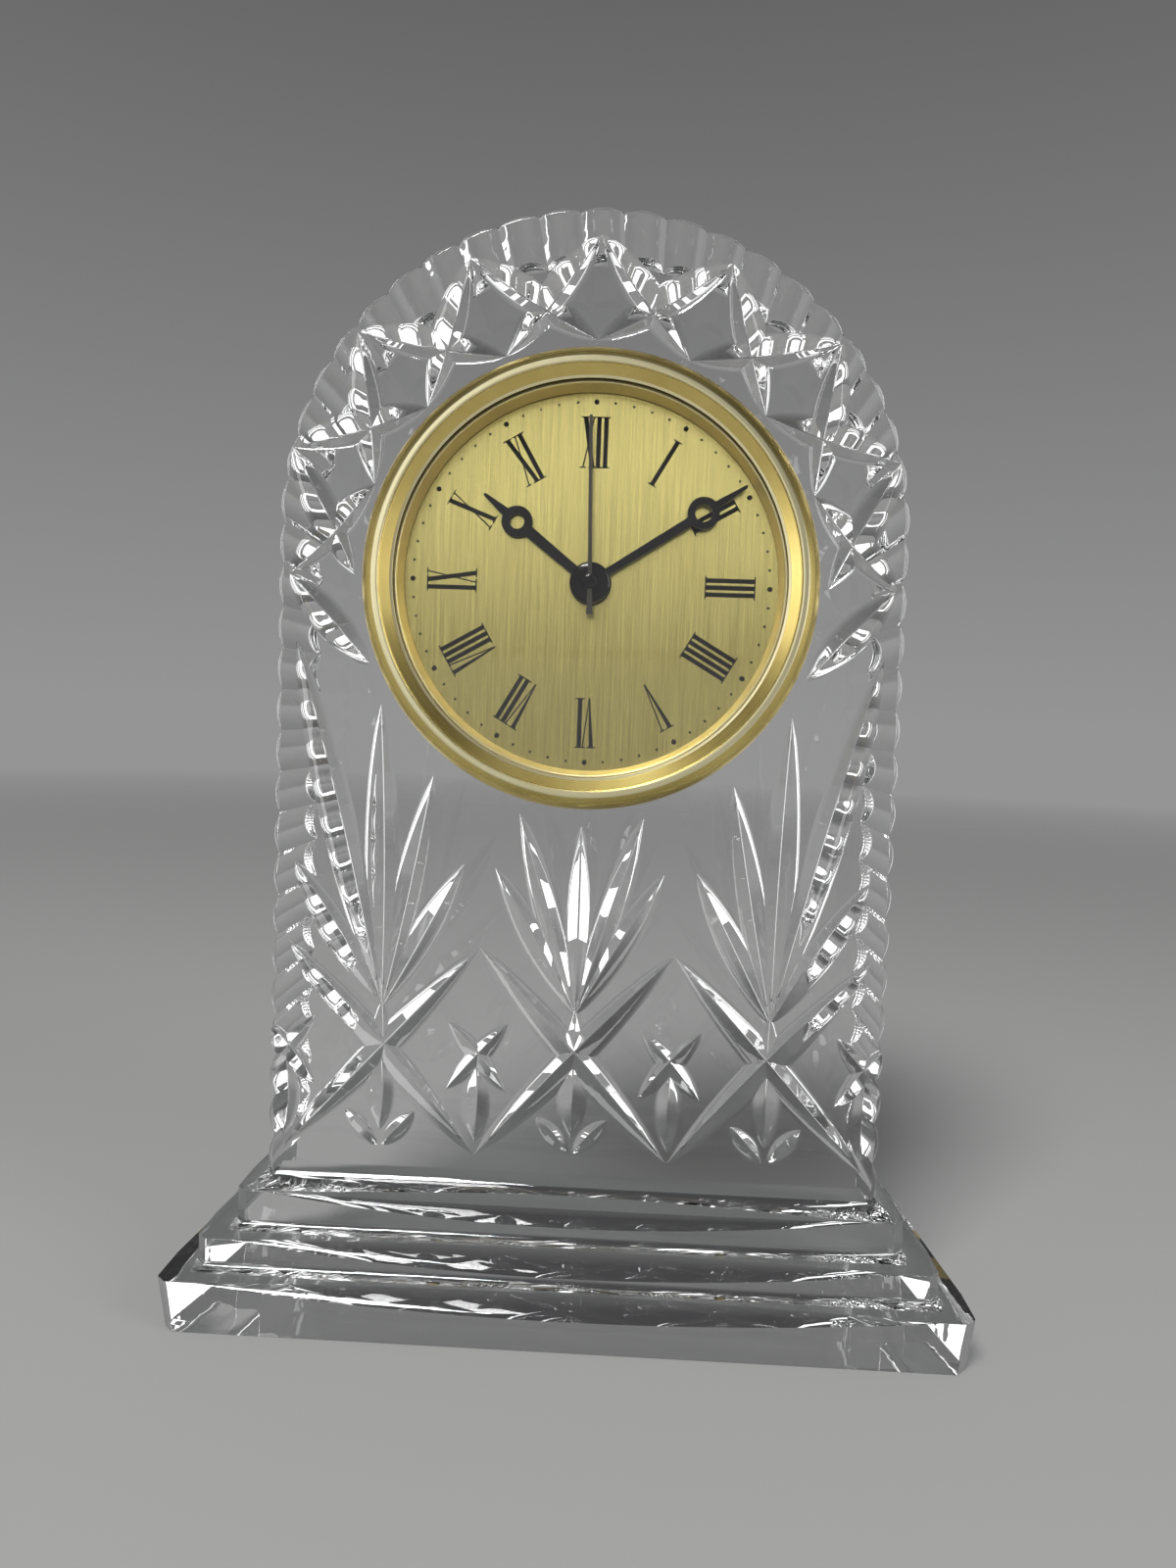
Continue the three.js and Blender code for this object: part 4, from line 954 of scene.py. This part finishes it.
# Moulded case: a turned shell with a battery bay, bosses for the screws and a dish for the knob
caseSizes = {
    "front": -1.6, "back": 22.0, "wall": 1.1, "floor": 20.5, "panel": 21.6, "rim": 28.6, "corner": 1.0,
    "bay": (17.2, 6.3), "bayWall": 1.0, "bayFront": 6.4, "bayRim": 0.7, "bossRadius": 2.9,
    "screwHole": 1.1, "shaftHole": 1.5, "holeFront": 15, "dish": (5.5, 6.4), "markHigh": 0.4,
    "ribsAt": (-9.5, 0, 9.5), "ribHalf": 0.5, "ribBack": 11.5, "cradle": 6.15,
    "rimSlope": 0.3, "sunk": 0.5, "bossSunk": 0.6, "markSunk": 0.3, "ribSunk": 0.2,
}
arrowSizes = {"radius": 8.4, "halfWidth": 0.35, "start": 35, "end": 115, "headWidth": 1.0, "headTurn": 16}
signSizes = {"reach": 1.1, "halfWidth": 0.28, "across": 11.0, "up": 9.0}


# The arrow round the knob
def arrowShape(radius, halfWidth, start, end, headWidth, headTurn):
    inner, outer = radius - halfWidth, radius + halfWidth
    spots = [(inner, a) for a in range(start, end + 1, 4)]
    spots += [(inner - headWidth, end), (radius, end + headTurn), (outer + headWidth, end)]
    spots += [(outer, a) for a in range(end, start - 1, -4)]
    return [(knobAt[0] + r * math.cos(math.radians(a)), knobAt[1] + r * math.sin(math.radians(a)))
            for r, a in spots]


# Plus and minus beside the battery
def signShapes(reach, halfWidth, across, up):
    plus = [(reach, halfWidth), (halfWidth, halfWidth), (halfWidth, reach)]
    plus += [(-x, z) for x, z in plus[::-1]]
    plus += [(x, -z) for x, z in plus[::-1]]
    minus = [(reach, halfWidth), (-reach, halfWidth), (-reach, -halfWidth), (reach, -halfWidth)]
    return [[(side * across + x, cellUp + up + z) for x, z in sign]
            for side, sign in ((1, plus), (-1, minus))]


def makeCase(front, back, wall, floor, panel, rim, corner, bay, bayWall, bayFront, bayRim, bossRadius,
             screwHole, shaftHole, holeFront, dish, markHigh, ribsAt, ribHalf, ribBack, cradle, rimSlope,
             sunk, bossSunk, markSunk, ribSunk):
    inner, (halfX, halfZ) = caseRadius - wall, bay

    def bayBox(name, grow, start, end, edge=0):
        return boxPiece(name, (-halfX - grow, start, cellUp - halfZ - grow),
                        (halfX + grow, end, cellUp + halfZ + grow), edge)

    shell = turnedPiece("shell", [
        (0, floor), (inner, floor, 0.4), (inner, front), (caseRadius, front, 0.2), (caseRadius, back, corner),
        (rim + rimSlope, back, 0.2), (rim, panel, 0.15), (0, panel)])
    bosses = [turnedPiece("boss", [(0, panel - bossSunk), (0, back), (bossRadius, back, 0.25),
                                   (bossRadius, panel - bossSunk)], 64, placeOf(name)) for name in caseScrews]
    ring = turnedPiece("dish", [(dish[0], panel - sunk), (dish[0], back, 0.2), (dish[1], back, 0.2),
                                (dish[1], panel - sunk)], 96, knobAt)
    shapes = [arrowShape(**arrowSizes), *signShapes(**signSizes)]
    marks = prismPiece("marks", shapes, panel - markSunk, panel + markHigh)
    solid = fusePieces(
        "case", mouldedBlack, shell, bayBox("bay", bayWall, bayFront, floor + sunk),
        bayBox("bayRim", bayRim, floor + sunk, back, 0.25), *bosses, ring, marks)
    holes = [rodPiece("hole", screwHole, holeFront, back + 1, 32, placeOf(name)) for name in caseScrews]
    holes.append(rodPiece("hole", shaftHole, holeFront, back + 1, 32, knobAt))
    cutAway(solid, bayBox("room", 0, bayFront + bayWall, back + 1), *holes)
    ribs = joinPieces("ribs", *[
        boxPiece("rib", (x - ribHalf, bayFront + bayWall - ribSunk, cellUp - halfZ - ribSunk),
                 (x + ribHalf, ribBack, cellUp + halfZ + ribSunk)) for x in ribsAt])
    cutAway(ribs, lyingPiece("cradle", [(0, -halfX), (cradle, -halfX), (cradle, halfX), (0, halfX)], 0,
                             cellDepth, cellUp))
    whole = fusePieces("insertCase", mouldedBlack, solid, ribs)
    finishPiece(whole, None, "insert", ["insert_case"])


makeCase(**caseSizes)
print("case moulded")


# Geometry Nodes: notches round a rim, a rod at each place of a circle, cut away
def notchTree(across=0, up=0):
    tree, given = newTree("rimNotches", count="Int", ringRadius="Float", notchRadius="Float", length="Float")
    rod = addNode(tree, "GeometryNodeMeshCylinder", {
        "Vertices": 14, "Radius": given["notchRadius"], "Depth": given["length"]})
    put = addNode(tree, "GeometryNodeInstanceOnPoints", {"Points": ringPoints(tree, given), "Instance": rod})
    upright = moveTo(tree, put, framePoint(across, 0, up))
    return endTree(tree, given, differenceOf(tree, given["Geometry"], upright))


# Rubber sleeve: four rounded ridges, slit all round
gripSizes = {
    "inner": 31.7, "low": 32.1, "high": 32.7, "front": 6.0, "pitch": 2.4, "ridges": 4, "crest": 0.35,
    "slits": 48, "slitRadius": 0.45, "slitOut": 0.1,
}


def makeGrip(inner, low, high, front, pitch, ridges, crest, slits, slitRadius, slitOut):
    end = front + ridges * pitch
    corners = [(inner, front, 0.1), (low, front, 0.1)]
    for i in range(ridges):
        top = front + (i + 0.5) * pitch
        corners += [(high, top - crest, 0.25), (high, top + crest, 0.25), (low, top + pitch / 2, 0.15)]
    sleeve = turnedPiece("gripSleeve", [*corners, (inner, end, 0.1)], arcSteps=3)
    slit = {"ringRadius": high + slitOut, "notchRadius": slitRadius, "length": 2 * (end + 1)}
    runTree(sleeve, notchTree(), gripRubber, slit, count=slits)
    finishPiece(sleeve, None, "insert", ["grip_ring"])


# Setting knob: notched disc, shaft, pivot and pinion
knobSizes = {
    "radius": 4.5, "front": 22.6, "back": 25.1, "cup": 3.2, "cupDepth": 0.4, "notches": 20,
    "notchRadius": 0.38, "notchOut": 0.12, "shaft": (1.2, 4.9), "pivot": (0.35, 3.7), "teeth": 18,
    "tip": 2.55, "root": 2.07, "pinion": (6.4, 7.5), "slot": (2.2, 0.35, 0.4), "cupSlope": 0.2,
    "notchLength": 70, "overlap": (0.5, 0.7),
}


def makeKnob(radius, front, back, cup, cupDepth, notches, notchRadius, notchOut, shaft, pivot, teeth, tip,
             root, pinion, slot, cupSlope, notchLength, overlap):
    floor = back - cupDepth
    disc = turnedPiece("knob", [
        (0, front), (radius, front, 0.2), (radius, back, 0.5), (cup + cupSlope, back, 0.15),
        (cup - cupSlope, floor, 0.15), (0, floor)], 120, knobAt)
    notch = {"ringRadius": radius + notchOut, "notchRadius": notchRadius, "length": notchLength}
    runTree(disc, notchTree(*knobAt), mouldedBlack, notch, count=notches)
    rods = [turnedPiece("rod", [(0, start), (thick, start, 0.1), (thick, end), (0, end)], 32, knobAt)
            for (thick, start), end in ((shaft, front + overlap[0]), (pivot, shaft[1] + overlap[1]))]
    gear = []
    for i in range(2 * teeth):
        angle, reach = math.pi * i / teeth, root if i % 2 else tip
        gear.append((knobAt[0] + reach * math.sin(angle), knobAt[1] + reach * math.cos(angle)))
    whole = fusePieces("settingKnob", mouldedBlack, disc, *rods, prismPiece("pinion", [gear], *pinion))
    (x, up), (long, wide, deep) = knobAt, slot
    coinSlot = boxPiece("slot", (x - long, floor - deep, up - wide), (x + long, back + 1, up + wide))
    finishPiece(cutAway(whole, coinSlot), None, "knob", ["setting_knob"])


# Case screws by Geometry Nodes: one screw at each boss, each stopped at its own angle
screwSizes = {
    "head": 1.76, "front": 22.1, "back": 23.1, "shank": 0.8, "tip": 15.0, "point": (0.48, 0.6),
    "slot": (1.2672, 0.25, 0.45),
}


def screwTree():
    tree, given = newTree("setScrews", screw="Object", seed="Int")
    spin = addNode(tree, "FunctionNodeRandomValue", {"Max": math.pi, "Seed": given["seed"]},
                   data_type="FLOAT")
    turn = addNode(tree, "ShaderNodeCombineXYZ", {"Y": spin})
    put = addNode(tree, "GeometryNodeInstanceOnPoints", {
        "Points": given["Geometry"], "Instance": objectOf(tree, given["screw"]),
        "Rotation": addNode(tree, "FunctionNodeEulerToRotation", [turn])})
    return endTree(tree, given, put)


def makeScrews(head, front, back, shank, tip, point, slot):
    shape = turnedPiece("screw", [
        (0, tip), (point[0], tip), (shank, tip + point[1]), (shank, front), (head, front, 0.1),
        (head, back, 0.55), (0, back)], 40, (0, -dialHeight))
    reach, half, depth = slot
    cutAway(shape, *[boxPiece("slot", (-a, back - depth, -b - dialHeight), (a, back + 1, b - dialHeight))
                     for a, b in ((reach, half), (half, reach))])
    spots = [(x, 0, dialHeight + up) for x, up in map(placeOf, caseScrews)]
    screws = runTree(newPiece("caseScrews", spots), screwTree(), brightSteel, screw=shape, seed=4)
    bpy.data.objects.remove(shape)
    finishPiece(screws, None, "insert", caseScrews)


# Battery: a steel can in a plain sleeve. Corners are (radius, in from that end, rounding).
batterySizes = {
    "half": 15.1,
    "minusEnd": [(0, 0), (3.72, 0, 0.1), (3.96, 0.15, 0.1), (5.5, 0.15, 0.2), (5.88, 0.5, 0.1),
                 (6, 0.6, 0.05)],
    "plusEnd": [(6, 1.15, 0.25), (4.8, 1.15, 0.1), (4.65, 1.45, 0.1), (2.9, 1.45, 0.1), (2.75, 1, 0.15),
                (2, 1, 0.12), (2, 0, 0.3), (0, 0)],
    "sleeveInside": 5.89, "sleeveLip": (4.8, 2.0),
}


def makeBattery(half, minusEnd, plusEnd, sleeveInside, sleeveLip):
    corners = [(radius, depth - half, *rest) for radius, depth, *rest in minusEnd]
    corners += [(radius, half - depth, *rest) for radius, depth, *rest in plusEnd]
    piece = lyingPiece("batteryCell", corners, placeOf("battery_cell")[0], cellDepth, cellUp)
    finishPiece(piece, brightSteel, "battery", ["battery_cell"])

    def sleeved(x, s, up):
        reach = math.hypot(s - cellDepth, up - cellUp)
        return reach > sleeveInside or (x > half - sleeveLip[1] and reach > sleeveLip[0])

    paintFaces(piece, batterySleeve, sleeved)


# Contacts: a leaf with a dimple, and a plate with a cone spring
contactSizes = {
    "edge": 0.12, "dimple": (2.2, 0.16), "springRadii": (3.0, 1.3), "turns": 2.5, "wire": 0.22,
    "plate": 0.3, "reach": 15.45, "wall": 16.9,
}


# Cone spring by Geometry Nodes: a spiral path given a round wire
def springTree(across, up, depth):
    tree, given = newTree("coneSpring", turns="Float", startRadius="Float", endRadius="Float", height="Float",
                          wireRadius="Float")
    path = addNode(tree, "GeometryNodeCurveSpiral", {
        "Resolution": 28, "Rotations": given["turns"], "Start Radius": given["startRadius"],
        "End Radius": given["endRadius"], "Height": given["height"]})
    section = addNode(tree, "GeometryNodeCurvePrimitiveCircle", {
        "Resolution": 12, "Radius": given["wireRadius"]})
    sweep = addNode(tree, "GeometryNodeCurveToMesh", {
        "Curve": path, "Profile Curve": section, "Fill Caps": True})
    return endTree(tree, given, moveTo(tree, sweep, framePoint(across, depth, up), (0, quarterTurn, 0)))


def makeContacts(edge, dimple, springRadii, turns, wire, plate, reach, wall):
    face, start = reach - 0.05, wall - plate - wire * 0.5
    for side, name, node in ((1, "positiveContact", "contact_positive"),
                             (-1, "negativeContact", "contact_negative")):
        low, high = boxOf(node)
        front, back = low.y - frontFace, high.y - frontFace
        foot, top = low.z - dialHeight, high.z - dialHeight
        depth, up = (front + back) / 2, (foot + top) / 2
        spans = [(face, face + plate, back), (face, wall, front + plate)] if side > 0 else [
            (wall - plate, wall, back)]
        shapes = []
        for inner, outer, end in spans:
            a, b = sorted((side * inner, side * outer))
            shapes.append(boxPiece("leaf", (a, front, foot), (b, end, top), edge))
        if side > 0:
            radius, rise = dimple
            shapes.append(lyingPiece("dimple", [
                (0, -rise), (radius * 0.5, -rise * 0.8, 0.3), (radius, 0), (radius, plate * 0.8),
                (0, plate * 0.8)], face, depth, up, 40))
        else:
            coil = {"startRadius": springRadii[0], "endRadius": springRadii[1], "wireRadius": wire,
                    "height": start - reach - wire}
            spring = newPiece("spring")
            shapes.append(runTree(spring, springTree(-start, up, depth), brightSteel, coil, turns=turns))
        finishPiece(fusePieces(name, brightSteel, *shapes), None, "insert", [node])


makeGrip(**gripSizes)
makeKnob(**knobSizes)
makeScrews(**screwSizes)
makeBattery(**batterySizes)
makeContacts(**contactSizes)
print("grip, knob, screws, battery and contacts made")

# The frame's own pieces keep their shape and take a finish of their own
carriedFinishes = {
    "dial": dialGold, "front_plate": mouldedBlack, "stator": brightSteel, "coil_winding": copperWire,
    "circuit_board": boardGreen, "quartz_can": brightSteel, "rotor_magnet": magnetGrey,
}
for name in ("train_plate", "coil_bobbin", "hour_wheel", "cannon_pinion", "minute_wheel", "centre_wheel",
             "third_wheel", "second_wheel", "intermediate_wheel", "rotor_pinion"):
    carriedFinishes[name] = mouldedWhite
for name in nodes:
    if "pillar_screw" in name:
        carriedFinishes[name] = brightSteel
for name, finish in carriedFinishes.items():
    nodes[name].data.materials.clear()
    nodes[name].data.materials.append(finish)
print("carried pieces painted")

# Stage: a pale floor that fades out, and a soft sky
stageSizes = {
    "radius": 1.6, "drop": 0.00005, "fade": (0.25, 1.5), "floorColour": (0.46, 0.46, 0.455),
    "roughness": 0.85, "shine": 0.2, "grain": 1500, "bump": (0.05, 0.05),
    "skyStops": [(0.0, (0.30, 0.30, 0.30, 1)), (0.75, (0.06, 0.06, 0.062, 1))],
}


def makeFloor():
    floor = newPiece("floor")
    mesh = bmesh.new()
    bmesh.ops.create_circle(mesh, cap_ends=True, segments=96, radius=stageSizes["radius"])
    bmesh.ops.translate(mesh, verts=mesh.verts, vec=(0, 0, -stageSizes["drop"]))
    mesh.to_mesh(floor.data)
    mesh.free()
    material, tree, shader = newMaterial("floorPaint", stageSizes["floorColour"], stageSizes["roughness"],
                                         **{"Specular IOR Level": stageSizes["shine"]})
    grain = noise(tree, stageSizes["grain"], 4.0)
    setInputs(tree, shader, {"Normal": bump(tree, grain, *stageSizes["bump"])})
    reach = addNode(tree, "ShaderNodeVectorMath", [place(tree, (1, 1, 0))], operation="LENGTH")
    openSurface(tree, shader, between(tree, reach, 0, 1, *stageSizes["fade"]))
    floor.data.materials.append(material)


def makeSky():
    world = bpy.data.worlds.new("sky")
    world.use_nodes = True
    scene.world = world
    tree = world.node_tree
    at = addNode(tree, "ShaderNodeTexCoord", output="Generated")
    ramp = tree.nodes.new("ShaderNodeValToRGB")
    for stop, (level, colour) in zip(ramp.color_ramp.elements, stageSizes["skyStops"]):
        stop.position, stop.color = level, colour
    setInputs(tree, ramp, {"Fac": addNode(tree, "ShaderNodeSeparateXYZ", [at], "Z")})
    setInputs(tree, tree.nodes["Background"], {"Color": ramp.outputs["Color"]})


makeFloor()
makeSky()


# Lamps, each for one group of pieces
def linkGroup(name, pieces, state="INCLUDE"):
    group = bpy.data.collections.new(name)
    for piece in pieces:
        group.objects.link(piece)
    for entry in group.collection_objects:
        entry.light_linking.link_state = state
    return group


def addLamp(name, spot, size, power, receivers, target=(0, 0, 0.09)):
    light = bpy.data.lights.new(name, "AREA")
    light.shape = "RECTANGLE"
    light.size, light.size_y = size
    light.energy = power
    lamp = bpy.data.objects.new(name, light)
    lamp.location = spot
    lamp.rotation_euler = (Vector(target) - Vector(spot)).to_track_quat("-Z", "Y").to_euler()
    lamp.visible_camera = False
    lamp.light_linking.receiver_collection = receivers
    scene.collection.objects.link(lamp)
    return light


allButMetal = linkGroup("allButMetal", [bezel, spacer, nodes["dial"]], "EXCLUDE")
goldOnly = linkGroup("goldOnly", [bezel, spacer])
dialOnly = linkGroup("dialOnly", [nodes["dial"]])
glassOnly = linkGroup("glassOnly", [crystal])
backOnly = linkGroup("backOnly", [piece for piece in scene.objects if piece not in (bezel, spacer, lens)
                                  and piece.get("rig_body") in ("insert", "battery", "knob")])
keySpot = (-0.35, -0.80, 1.20)
# Gold and dial mirror dim cards of their own, so that the lamps don't burn out in them. The cards
# round the crystal give its facets something to mirror and to bend into view.
lampSizes = {  # place, size, power, what it lights
    "keyLamp": (keySpot, (0.4, 0.4), 16, allButMetal),
    "fillLamp": ((0.95, -0.55, 0.45), (0.4, 0.9), 4, allButMetal),
    "dialKey": (keySpot, (0.4, 0.4), 6, dialOnly),
    "goldKey": (keySpot, (0.4, 0.4), 1.6, goldOnly),
    "leftGlow": ((-0.95, -0.40, 0.16), (0.5, 0.7), 1.9, goldOnly),
    "rightGlow": ((0.95, -0.35, 0.14), (0.4, 0.6), 1.2, goldOnly),
    "ringGlow": ((-0.45, -1.05, 0.42), (0.7, 0.5), 1.4, goldOnly),
    "topGlow": ((0, -0.35, 1.0), (0.8, 0.5), 0.35, goldOnly),
    "backGlow": ((0.5, 0.9, 0.7), (0.5, 0.5), 7, backOnly),
    "dialGlow": ((0, -1.1, 0.50), (1.8, 0.5), 3.6, dialOnly),
    "leftCard": ((-0.97, -0.08, 0.45), (0.4, 0.9), 3.5, glassOnly),
    "rightCard": ((0.97, -0.05, 0.45), (0.3, 0.8), 2.2, glassOnly),
}
lights = {name: addLamp(name, *sizes) for name, sizes in lampSizes.items()}
lights["dialGlow"].cycles.use_multiple_importance_sampling = False  # it reaches the dial through the lens

# Camera at the photograph's angle
cameraSizes = {
    "place": (0.0071, -0.186, 0.0949), "turn": 2.16, "lean": 2.05, "dip": 3.48, "lens": 25.99, "sensor": 36.0,
}


def makeCamera():
    sizes = cameraSizes
    turn, lean, dip = (Matrix.Rotation(math.radians(sizes[key]), 3, axis)
                       for key, axis in (("turn", "Z"), ("lean", "Y"), ("dip", "X")))
    right, down, forward = turn @ lean @ dip @ Matrix(((1, 0, 0), (0, 0, -1), (0, 1, 0)))
    data = bpy.data.cameras.new("camera")
    data.lens = sizes["lens"]
    data.sensor_width = sizes["sensor"]
    data.clip_start = 0.01
    camera = bpy.data.objects.new("camera", data)
    axes = Matrix((right, -down, -forward)).transposed()
    camera.matrix_world = Matrix.Translation(sizes["place"]) @ axes.to_4x4()
    scene.collection.objects.link(camera)
    scene.camera = camera


# Strips stand edge-on along the two lines of sight that pass the block's sides
stripSizes = {
    "angles": (14.5, -18.7), "reaches": (0.34, 0.44, 0.56, 0.72), "size": (0.055, 0.26), "power": 0.06,
    "level": 0.13,
}


def addStrips(angles, reaches, size, power, level):
    eye = Vector((*cameraSizes["place"][:2], level))
    for degrees in angles:
        turn = math.radians(degrees)
        along = Vector((math.sin(turn), math.cos(turn), 0))
        inward = Vector((-math.cos(turn), math.sin(turn), 0)) * math.copysign(1, degrees)
        for reach in reaches:
            spot = eye + along * reach
            addLamp("strip", spot, size, power, glassOnly, spot + inward)


makeCamera()
addStrips(**stripSizes)
cycles = scene.cycles
cycles.max_bounces = 24
cycles.transmission_bounces = 24
cycles.glossy_bounces = 8
cycles.transparent_max_bounces = 24
cycles.caustics_reflective = False
cycles.caustics_refractive = False
scene.view_settings.view_transform = "Standard"
print("stage, lamps and camera set")
